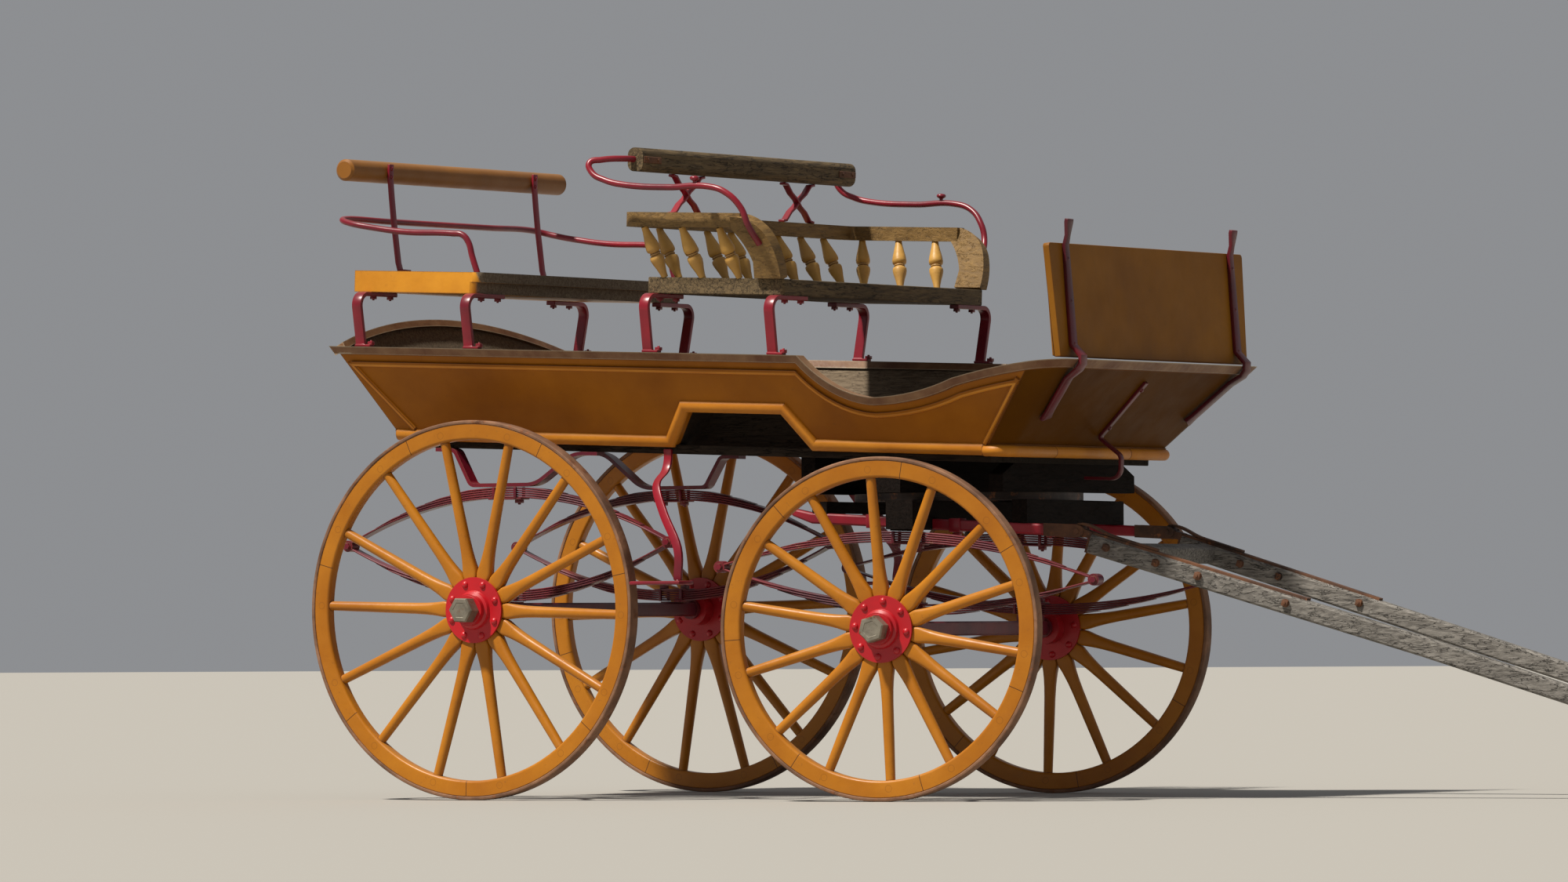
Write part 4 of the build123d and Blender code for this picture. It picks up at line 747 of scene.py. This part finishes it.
# Futchells: the two forged iron bars that carry the shafts, in a red that has kept its gloss. Square clamps,
# with nuts under them, hold them to the bed and to the irons that cross them.
FUTCHELL_Y = 0.380
FUTCHELL_Z = 0.8585
FUTCHELL_FALL = tan(radians(3.2))
CLAMP_HALF = (0.019, 0.0275, 0.0215)
NUT_UNDER = 0.0205
futchell_red = painted_iron("futchell_red", (0.33, 0.007, 0.02), DEEP_RED, 0.32)
dressed(futchell_red, "futchells")
softened(0.006, "futchells")
clamps = []
for sign in (-1, 1):
    for x in (-0.16, 0.12, 0.26):
        middle = Vector((x, sign * FUTCHELL_Y, FUTCHELL_Z - FUTCHELL_FALL * x))
        clamps.append(bar(middle - Vector(CLAMP_HALF), middle + Vector(CLAMP_HALF), 0.003, fore_frame))
        clamps.append(twin(square_nut, pointed(middle - Vector((0, 0, NUT_UNDER)), (0, 0, -1), fore_frame)))
finished(clamps, "futchell_clamps", futchell_red, "fore_carriage")

# Shafts: bent ash gone silver-grey in the rain, strapped with iron that has rusted all over. Bolts go through
# the straps and the wood from side to side, with a square nut at each end.
SHAFT_DROOP = radians(17.13)
SHAFT_Y = 0.380
STRAP_START = 0.048
SHAFT_SPREAD = (0.380 - 0.285) / (1.150 - STRAP_START)
BOLT_HEIGHT = -0.026 + 0.004
STRAP_FACE = 0.0235
shaft_frame = Matrix.Translation(joint_at["shafts_lift"]) @ steer @ Matrix.Rotation(SHAFT_DROOP, 4, "Y")
dressed(old_timber("shaft_grey", (0.05, 0.044, 0.038), (0.36, 0.335, 0.30), along=(1, 8, 8), scale=1.8),
        "shafts")
strap_rust = rusted("strap_rust", (0.20, 0.085, 0.04), (0.05, 0.03, 0.022))
dressed(strap_rust, "shaft_irons", "shaft_jaws")


def shaft_y(x):
    """How far a shaft's middle lies from the carriage's middle, at this place along it."""
    return SHAFT_Y - SHAFT_SPREAD * (x - STRAP_START)


shaft_bolts = [pointed((x, sign * shaft_y(x) + hand * STRAP_FACE, BOLT_HEIGHT), (0, hand, 0), shaft_frame, 0.9)
               for sign in (-1, 1) for x in (0.105, 0.270, 0.410, 0.700) for hand in (-1, 1)]
fastened(square_nut, shaft_bolts, "shaft_bolts", strap_rust, "shafts")

# Shaft root irons: over each shaft's root a flat bar of iron rises in a low arch above the hinge and then
# lies down along the strap, forged in one length and rusty like the strap.
ROOT_IRON_Z = 0.004 + 0.0065
root_rows = ((-0.020, -0.002), (-0.008, 0.009), (0.008, 0.0145), (0.030, 0.0155), (0.055, 0.0125),
             (0.085, 0.007), (0.120, 0.0045), (0.260, 0.0045))


def eased(points, steps=6):
    """A smooth line through these points."""
    points = [Vector(p) for p in points]
    ends = [2 * points[0] - points[1], *points, 2 * points[-1] - points[-2]]
    line = []
    for a, b, c, d in zip(ends, ends[1:], ends[2:], ends[3:]):
        for step in range(steps):
            t = step / steps
            line.append(0.5 * (2 * b + (c - a) * t + (2 * a - 5 * b + 4 * c - d) * t ** 2
                               + (3 * b - a - 3 * c + d) * t ** 3))
    return line + [points[-1]]


def flat_section(half, out, back=None):
    """The section of a flat bar: half its breadth, and how far it reaches out and back."""
    back = out if back is None else back
    return [(-half, -back), (half, -back), (half, out), (-half, out)]


root_irons = []
for sign in (-1, 1):
    line = eased([(x, sign * shaft_y(x), ROOT_IRON_Z + z) for x, z in root_rows], 4)
    iron = laid_along(line, (0, 0, 1), flat_section(0.013, 0.004), shaft_frame)
    root_irons.append(rounded(iron, 0.002, angle=50))
finished(root_irons, "shaft_root_irons", strap_rust, "shafts", smooth=40)

# Tub: flared side panels, a raked toe board and a raked tail, of wide boards nailed to the sills. Outside they
# are painted ochre, which the sun has baked, and inside they are bare boards. This ochre is darker than the
# wheels': painted shade, for the sides lean out and face down, away from the sun.
# Both tub colours are darkened as painted shade for the outward-leaning panels.
TUB_SHADED_FRESH = (0.35, 0.118, 0.004)
TUB_SHADED_FADED = (0.23, 0.070, 0.002)
dressed(painted("tub_right", TUB_SHADED_FRESH, TUB_SHADED_FADED, 0.45, inside=(0, 1, 0), gloss=0.15), "side_panel_right")
dressed(painted("tub_left", TUB_SHADED_FRESH, TUB_SHADED_FADED, 0.45, inside=(0, -1, 0), gloss=0.15), "side_panel_left")
# The toe board's ochre is darker still: painted shade, for it faces forward and down, away from the sun.
dressed(painted("toe_ochre_painted_shade", (0.10, 0.036, 0.002), (0.075, 0.026, 0.002), 0.3, inside=(-1, 0, 0.3),
                gloss=0.03), "toe_board")
dressed(painted("tail_ochre", TUB_SHADED_FRESH, TUB_SHADED_FADED, 0.45, inside=(1, 0, 0.3)), "tail_board")

# Beads: a half-round ash rod along each side of the tub's foot, in brighter ochre; the extra brightness is
# partly a painted highlight. It is nailed on in lengths, and climbs over the notch at the step.
SILL_HEIGHT = 1.140
BODY_PITCH = radians(2.2)
BOTTOM_HALF = 0.515
FLARE_RUN = 0.534
flare = atan(FLARE_RUN)
body_frame = (Matrix.Translation(rear_axle_ground + Vector((0, 0, SILL_HEIGHT)))
              @ Matrix.Rotation(BODY_PITCH, 4, "Y"))
bead_path = [(-0.404, 0.010), (0.620, 0.010), (0.703, 0.121), (1.064, 0.121), (1.147, 0.010), (1.756, 0.010)]
# The beads' ochre is lighter than the tub's, partly as a painted highlight on the rounded strips.
bead_ochre_and_painted_highlight = painted("bead_ochre_and_painted_highlight", (0.56, 0.215, 0.014), (0.44, 0.150, 0.008), 0.5, scale=4)


def half_round(half, out, steps, sunk):
    """The section of a half-round strip, its flat side sunk a little into what it lies on."""
    arc = [(half * cos(a), out * sin(a)) for a in (pi * i / steps for i in range(steps + 1))]
    return arc + [(-half, -sunk), (half, -sunk)]


def tub_strips(line, section, name):
    """A strip on each side of the tub, along a line drawn in the side view."""
    for hand, sign in SIDES.items():
        outward = (0, sign * cos(flare), -sin(flare))
        path = [(x, sign * (BOTTOM_HALF + FLARE_RUN * z), z) for x, z in line]
        strip = laid_along(path, outward, section, body_frame)
        finished([strip], f"{name}_{hand}", bead_ochre_and_painted_highlight, "carriage")


tub_strips(bead_path, half_round(0.0200, 0.0172, 10, 0.003), "bead")

# Toe rod: the same ash rod, left round, goes on round the tub's corners and under the toe board. It is nailed
# on in three lengths that meet in open joints.
ROD_R = 0.0185
ROD_SIDES = 20
ROD_REACH, ROD_HALF, ROD_LEVEL = 1.842 - 0.007, 0.530 - 0.007, 0.0065
ROD_CORNER_R = 0.052
ROD_JOINTS = (-0.235, 0.240)
JOINT_HALF = 0.0008
corner_line = [(ROD_REACH - ROD_CORNER_R * (1 - sin(a)), ROD_HALF - ROD_CORNER_R * (1 - cos(a)))
               for a in (pi / 2 * i / 8 for i in range(9))]
right_half = [(x, -y) for x, y in [(1.757, ROD_HALF), *corner_line]]
left_half = [(x, -y) for x, y in reversed(right_half)]
right_joint, left_joint = ([(ROD_REACH, y - JOINT_HALF), (ROD_REACH, y + JOINT_HALF)] for y in ROD_JOINTS)
rod_section = [(ROD_R * cos(a), ROD_R * sin(a)) for a in (tau * i / ROD_SIDES for i in range(ROD_SIDES))]
rods = []
for line in (right_half + right_joint[:1], right_joint[1:] + left_joint[:1], left_joint[1:] + left_half):
    rod = laid_along([(x, y, ROD_LEVEL) for x, y in line], (0, 0, 1), rod_section, body_frame)
    rods.append(rounded(rod, 0.0012, angle=60))
finished(rods, "toe_rod", bead_ochre_and_painted_highlight, "carriage")

# Mouldings: a thin half-round strip of ash under the rail on each side, in the beads' ochre with its painted
# highlight. It is nailed along the dip of the panel, and comes down to the bead beside the tail and beside the
# toe board.
SIDE_TOP = 0.262
STRIP_Z = SIDE_TOP - 0.024 - 0.007
TOE_X, TOE_SLOPE = 1.812, 0.924
REAR_SLOPE, FRONT_SLOPE = 0.86, 0.85
rear_foot, front_foot = (-0.335, 0.030), (1.762, 0.030)
# Each row: a point of the panel's edge, and how it moves for each metre that the strip lies lower.
edge_rows = ((1.155, 0.262, 0.41, 1), (1.247, 0.181, 0.54, 0.84), (1.397, 0.137, 0, 1),
             (1.535, 0.153, -0.2, 0.98), (1.709, 0.203, -0.27, 0.96), (1.885, 0.242, -0.2, 0.98),
             (TOE_X + TOE_SLOPE * 0.266 + 0.040, 0.270, 0, 1))


def arc_through(a, b, c, steps):
    """Points of the circle's arc from a over b to c, in the side view."""
    a, b, c = complex(*a), complex(*b), complex(*c)
    w = (c - a) / (b - a)
    centre = a + (b - a) * (w - abs(w) ** 2) / (w - w.conjugate())
    sweep = cmath.phase((c - centre) / (a - centre))
    spots = (centre + (a - centre) * cmath.exp(1j * sweep * i / steps) for i in range(steps + 1))
    return [(spot.real, spot.imag) for spot in spots]


lower = STRIP_Z - SIDE_TOP
knee, fall, dip, climb, shoulder, arch, front_end = [(x + a * lower, z + b * lower) for x, z, a, b in edge_rows]
line = [rear_foot, (rear_foot[0] - REAR_SLOPE * (STRIP_Z - rear_foot[1]), STRIP_Z)]
line += arc_through(knee, fall, dip, 10) + arc_through(dip, climb, shoulder, 8)[1:]
line += [(x, z) for x, z in arc_through(shoulder, arch, front_end, 24)[1:]
         if x < front_foot[0] + FRONT_SLOPE * (z - front_foot[1]) - 0.004]
corner_z = line[-1][1] + 0.001
line += [(front_foot[0] + FRONT_SLOPE * (corner_z - front_foot[1]), corner_z), front_foot]
tub_strips(line, half_round(0.0078, 0.0092, 8, 0.002), "moulding")

# Top rail: an ash capping, screwed down on the tub's edge all round, in brown paint. Hands and weather have
# taken the paint from its upper edge down to the grey wood.
dressed(painted("rail_brown", (0.13, 0.052, 0.022), (0.23, 0.125, 0.060), 0.8, (0.36, 0.28, 0.19),
                rough=0.5, scale=9, grime=0.5), "top_rail")

# Dash board: one wide ochre board held at its ends by forged flat irons in dark red. They are bolted to the
# toe board, swan out at their shoulders, run up behind the board and end in small flared tips.
DASH_X, DASH_Z, DASH_Y = 2.062, 0.300, 0.531
DASH_RAKE = tan(radians(6.7))
IRON_OUT = 0.005
# The dash's brown ochre is darkened further as painted shade on its front face, which is turned from the sun.
dressed(painted("dash_ochre_and_painted_shade", (0.26, 0.105, 0.009), (0.17, 0.064, 0.006), 0.4, scale=1.8, gloss=0.12),
        "dash_board")
dash_red = painted_iron("dash_red", (0.13, 0.004, 0.010), (0.05, 0.004, 0.009), 0.3)
dressed(dash_red, "toe_iron")
softened(0.002, "dash_board", "toe_iron")
# Each row: place in the side view, distance from the middle, and breadth against that of the section.
dash_iron_rows = ((1.9287, 0.110, 0.455, 1.25), (1.9480, 0.131, 0.4663, 0.95), (2.0450, 0.236, 0.523, 0.95),
                  (2.0850, 0.262, 0.5305, 1.0), (2.0975, 0.280, 0.531, 1.0), (2.0975, 0.302, 0.531, 1.0),
                  (2.0630, 0.336, 0.531, 0.95), (DASH_X - 0.170 * DASH_RAKE + IRON_OUT, 0.470, 0.531, 0.9),
                  (DASH_X - 0.340 * DASH_RAKE + IRON_OUT, 0.640, 0.531, 0.70), (2.0330, 0.672, 0.531, 0.52),
                  (2.0360, 0.712, 0.531, 1.05), (2.0375, 0.7225, 0.531, 1.0))
pieces = []
for sign in (-1, 1):
    path = [Vector((x, sign * y, z)) for x, z, y, breadth in dash_iron_rows]
    spans = [after - before for before, after in zip(path[:1] + path, path[1:] + path[-1:])]
    outs = [along.cross(Vector((0, 1, 0))).normalized() * -1 for along in spans]
    iron = laid_along(path, outs, flat_section(0.018, 0.008, 0.005), body_frame,
                      [breadth for x, z, y, breadth in dash_iron_rows])
    pieces.append(rounded(iron, 0.002, angle=50))
dash_iron_piece = finished(pieces, "forged_dash_irons", dash_red, "carriage", smooth=40)
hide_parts("dash_irons")

# Seats: the driver's seat is a plank in a steamed bow, with a thick round bar for its back, all in bare ash
# gone grey and brown. The rear seat is painted. Both stand on forged red legs that are bolted to the sills.
seat_red = painted_iron("seat_red", (0.25, 0.005, 0.016), (0.12, 0.005, 0.014), 0.3)
dressed(old_timber("seat_grey", (0.045, 0.030, 0.015), (0.24, 0.165, 0.080), along=(9, 1, 9)),
        "front_seat_board", "front_backrest")
dressed(old_timber("bow_brown", (0.12, 0.066, 0.018), (0.32, 0.190, 0.062), along=(3, 1, 7), scale=1.3,
                   rough=0.6, cracked=0.3), "front_seat_bow")
dressed(painted("bar_ochre", (0.27, 0.105, 0.014), (0.20, 0.075, 0.01), 0.5), "rear_backrest")
dressed(painted("seat_yellow", (0.66, 0.28, 0.02), (0.52, 0.20, 0.012), 0.4, scale=4,
                inside=(0.75, 0, 0.66)), "rear_seat_board")
dressed(seat_red, "front_seat_legs", "rear_seat_legs")
softened(0.003, "front_seat_board", "rear_seat_board", "front_seat_legs", "rear_seat_legs")

# Spindles: fourteen of them stand round the driver's seat, turned from ash on the lathe with a ball between
# two swellings. They are pegged into the plank and the bow, in a dull yellow worn to the wood.
SEAT_TOP = 0.523
BOW_UNDER = 0.679
BACK_SPINDLES = 8
BACK_PITCH = 0.144
spindle_rows = [((0.625, y), (0.545, y)) for y in (BACK_PITCH * (i - 3.5) for i in range(BACK_SPINDLES))]
spindle_rows += [((x, sign * 0.614), (x - 0.045, sign * 0.6715)) for x in (0.640, 0.777, 0.914)
                 for sign in (-1, 1)]
# Each pair: radius, and height as a share of the spindle's length.
spindle_shape = [(0.0105, 0.0), (0.0115, 0.08), (0.0155, 0.19), (0.0205, 0.29), (0.0232, 0.37), (0.0222, 0.415),
                 (0.0165, 0.442), (0.0145, 0.452), (0.0178, 0.462), (0.0178, 0.482), (0.0145, 0.492),
                 (0.0165, 0.502), (0.0222, 0.53), (0.0235, 0.575), (0.0215, 0.66), (0.0165, 0.79), (0.0120, 0.91),
                 (0.0105, 1.0)]
spindle_yellow = painted("spindle_yellow", (0.56, 0.31, 0.07), (0.40, 0.22, 0.06), 0.7, (0.2, 0.13, 0.07),
                         scale=9)
spindle = turned(spindle_shape, "spindle", 18)
spindles = []
for (x0, y0), (x1, y1) in spindle_rows:
    foot = Vector((x0, y0, SEAT_TOP))
    upright = Vector((x1, y1, BOW_UNDER)) - foot
    stretched = Matrix.Diagonal((1, 1, upright.length, 1))
    spindles.append(twin(spindle, pointed(foot, upright, body_frame) @ stretched))
discard(spindle)
spindle_piece = finished(spindles, "turned_spindles", spindle_yellow, "carriage", smooth=60)
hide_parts("front_seat_spindles")

# Driver's seat irons: on each side a round iron bent hot from one bar, from the roll over to the arm and down
# to the plank, with a knob on the arm. Crossed flat straps carry the roll, and riveted irons cap its ends.
IRON_R = 0.010
ARM_Y = 0.766
BOW_TOP = 0.724
ROLL_X, ROLL_Z, ROLL_R = 0.545, 0.890, 0.0375
STRAP_HALF = 0.004
STRAP_X, STRAP_Y = 0.5425, 0.340
ROLL_END_Y = 0.600
arm_points = [(0, 0.634, 0), (-0.020, 0.684, 0.001), (-0.075, 0.735, -0.005), (-0.105, 0.757, -0.016),
              (-0.092, 0.764, -0.045), (-0.040, ARM_Y, -0.070), (0.025, ARM_Y, -0.083), (0.195, ARM_Y, -0.090),
              (0.334, ARM_Y, -0.086), (0.400, 0.764, -0.104), (0.448, 0.750, -0.150), (0.470, 0.738, -0.205),
              (0.485, 0.692, -0.262)]
knob = turned([(0.007, 0), (0.0055, 0.010), (0.006, 0.014), (0.0145, 0.019), (0.0155, 0.024), (0.012, 0.029),
               (0, 0.031)], "knob", 20)


def bent_rod(points):
    """A round iron bent smoothly through these points of the body."""
    data = bpy.data.curves.new("rod", "CURVE")
    data.dimensions = "3D"
    data.bevel_depth = IRON_R
    data.bevel_resolution = 5
    data.resolution_u = 10
    data.use_fill_caps = True
    spline = data.splines.new("BEZIER")
    spline.bezier_points.add(len(points) - 1)
    for knot, point in zip(spline.bezier_points, points):
        knot.co = point
        knot.handle_left_type = knot.handle_right_type = "AUTO"
    take(stand("rod", data))
    bpy.ops.object.convert(target="MESH")
    piece = bpy.context.object
    piece.data.transform(body_frame)
    return piece


strap_low, strap_high = BOW_TOP + STRAP_HALF, ROLL_Z - ROLL_R - STRAP_HALF
middle = (strap_low + strap_high) / 2
strap_line = [(0.095, strap_low), (0.074, strap_low + 0.003), (0.045, middle - 0.030), (0.013, middle - 0.012),
              (-0.013, middle + 0.012), (-0.045, middle + 0.030), (-0.074, strap_high - 0.003),
              (-0.095, strap_high)]
pieces, roll_irons = [], []
for sign in (-1, 1):
    pieces.append(bent_rod([(ROLL_X + x, sign * y, ROLL_Z + z) for x, y, z in arm_points]))
    pieces.append(twin(knob, body_frame @ Matrix.Translation((ROLL_X + 0.288, sign * ARM_Y, ROLL_Z - 0.084))))
    for hand in (-1, 1):
        path = [(STRAP_X + hand * 0.0005, sign * STRAP_Y + hand * y, z) for y, z in strap_line]
        strap = laid_along(path, (1, 0, 0), flat_section(STRAP_HALF, 0.011), body_frame)
        pieces.append(rounded(strap, 0.0015))
    roll_iron = bar((ROLL_X + 0.0275, sign * ROLL_END_Y - 0.052, ROLL_Z - 0.0105),
                    (ROLL_X + 0.0320, sign * ROLL_END_Y + 0.052, ROLL_Z + 0.0105), place=body_frame)
    roll_irons.append(rounded(roll_iron, 0.003))
    for y in (ROLL_END_Y - 0.030, ROLL_END_Y + 0.030):
        roll_irons.append(twin(rivet, pointed((ROLL_X + 0.0315, sign * y, ROLL_Z), (1, 0, 0), body_frame, 0.8)))
discard(knob)
finished(roll_irons, "roll_end_irons", strap_rust, "carriage")
front_irons = finished(pieces, "front_arm_irons", seat_red, "carriage", smooth=50)
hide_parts("front_seat_irons")

# Rear seat irons: one round iron is bent into a hoop round the seat's back and sides, with its feet in the
# plank. Two flat stays rise from the plank to the back bar, and two rivets hold each of them there.
BAR_X, BAR_Z, BAR_R = -0.560, 0.850, 0.035
STAY_Y = 0.430
half_hoop = [(-0.069, 0.600, 0.528), (-0.078, 0.6015, 0.552), (-0.088, 0.603, 0.580), (-0.104, 0.606, 0.628),
             (-0.124, 0.608, 0.648), (-0.160, 0.610, 0.652), (-0.338, 0.612, 0.655), (-0.470, 0.612, 0.668),
             (-0.556, 0.608, 0.681), (-0.594, 0.590, 0.690), (-0.607, 0.555, 0.695), (-0.607, 0.300, 0.695)]
stay_front = BAR_X + BAR_R + 0.004
stay_line = [(stay_front, BAR_Z + 0.026), (stay_front, BAR_Z - 0.020), (-0.514, 0.770), (-0.503, 0.688),
             (-0.482, 0.560), (-0.474, 0.536), (-0.440, 0.534)]
pieces = [bent_rod([(x, -y, z) for x, y, z in half_hoop] + half_hoop[::-1])]
for sign in (-1, 1):
    path = [(x, sign * STAY_Y, z) for x, z in stay_line]
    stay = laid_along(path, (0, 1, 0), flat_section(STRAP_HALF, 0.013), body_frame)
    pieces.append(rounded(stay, 0.0015))
    for z in (BAR_Z + 0.012, BAR_Z - 0.014):
        pieces.append(twin(rivet, pointed((stay_front + 0.004, sign * STAY_Y, z), (1, 0, 0), body_frame)))
rear_irons = finished(pieces, "rear_hoop_irons", seat_red, "carriage", smooth=50)
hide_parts("rear_seat_irons")

# Steps: on each side a flat iron stem, bolted to the sill, is bent out and forward to a plain iron tread that
# is riveted on its end. They are painted red like the seats' irons.
SILL_DEPTH = 0.030
TREAD_LENGTH, TREAD_WIDTH, TREAD_THICK = 0.185, 0.090, 0.012
TREAD_Y, TREAD_Z = 0.710, 0.686
STEM_BACK = 0.095
STEM_END_Y = 0.676
tread_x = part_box("steps")[1].x - rear_axle_ground.x - TREAD_LENGTH / 2
stem_x = tread_x - STEM_BACK
sill_z = SILL_HEIGHT - SILL_DEPTH / cos(BODY_PITCH) - stem_x * tan(BODY_PITCH)
height = sill_z - TREAD_Z
stem_line = [(0, 0.511, sill_z + 0.015), (0, 0.511, sill_z - 0.020), (0.001, 0.530, sill_z - 0.055),
             (0.009, 0.596, TREAD_Z + 0.745 * height), (0.060, 0.635, TREAD_Z + 0.52 * height),
             (0.135, STEM_END_Y, TREAD_Z + 0.25 * height), (0.135, STEM_END_Y, TREAD_Z + 0.002)]
pieces = []
for sign in (-1, 1):
    path = eased([(stem_x + x, sign * y, z) for x, y, z in stem_line])
    stem = laid_along(path, (0, sign, 0), flat_section(0.014, 0.006), chassis_frame)
    pieces.append(rounded(stem, 0.0025, angle=50))
    corner = Vector((TREAD_LENGTH / 2, TREAD_WIDTH / 2, 0))
    top = Vector((tread_x, sign * TREAD_Y, TREAD_Z))
    pieces.append(bar(top - corner - Vector((0, 0, TREAD_THICK)), top + corner, 0.005, chassis_frame))
    pieces.append(twin(rivet, pointed((tread_x + 0.040, sign * STEM_END_Y, TREAD_Z), (0, 0, 1), chassis_frame)))
step_piece = finished(pieces, "bent_steps", seat_red, "carriage", smooth=40)
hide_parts("steps")

# Bolts of the seats: iron bolts through the planks and the legs' turned feet, in the legs' red. Their square
# nuts hang under the planks, and others lie on the feet along the tub's sides.
SEAT_NUT_Z = -0.0138
FOOT_NUT_Z = 0.2935
spots = []
for leg_places, plank_under in (((0.606, 1.062), 0.472), ((-0.472, -0.062), 0.462)):
    for x in leg_places:
        for sign in (-1, 1):
            spots += [pointed((x, sign * y, plank_under + SEAT_NUT_Z), (0, 0, -1), body_frame, 0.75)
                      for y in (0.488, 0.585)]
            spots.append(pointed((x + 0.038, sign * 0.648, FOOT_NUT_Z), (0, 0, 1), body_frame, 0.8))
fastened(square_nut, spots, "seat_leg_nuts", seat_red, "carriage")

# Bolts of the dash: domed iron heads in the dash's red, three through each iron and the board, two through
# each iron's foot and the toe board, and two through the toe iron in the middle.
FOOT_IRON_LOW, FOOT_IRON_HIGH = (0.110, 0.455), (0.236, 0.523)
HEAD_OUT = 0.0102


def toe_head(y, z, out):
    """The place of a bolt's head, this far out from the toe board's face."""
    return pointed((TOE_X + TOE_SLOPE * z + out * sqrt(1 + TOE_SLOPE ** 2), y, z), (1, 0, -TOE_SLOPE),
                   body_frame)


spots = []
for sign in (-1, 1):
    for z in (0.340, 0.470, 0.600):
        x = DASH_X - (z - DASH_Z) * DASH_RAKE + HEAD_OUT
        spots.append(pointed((x, sign * DASH_Y, z), (1, 0, 0.117), body_frame))
    for z in (0.130, 0.205):
        (z0, y0), (z1, y1) = FOOT_IRON_LOW, FOOT_IRON_HIGH
        spots.append(toe_head(sign * (y0 + (y1 - y0) * (z - z0) / (z1 - z0)), z, 0.0104))
spots += [toe_head(0, z, 0.0100) for z in (0.085, 0.205)]
fastened(rivet, spots, "dash_bolts", dash_red, "carriage")
discard(rivet, square_nut)
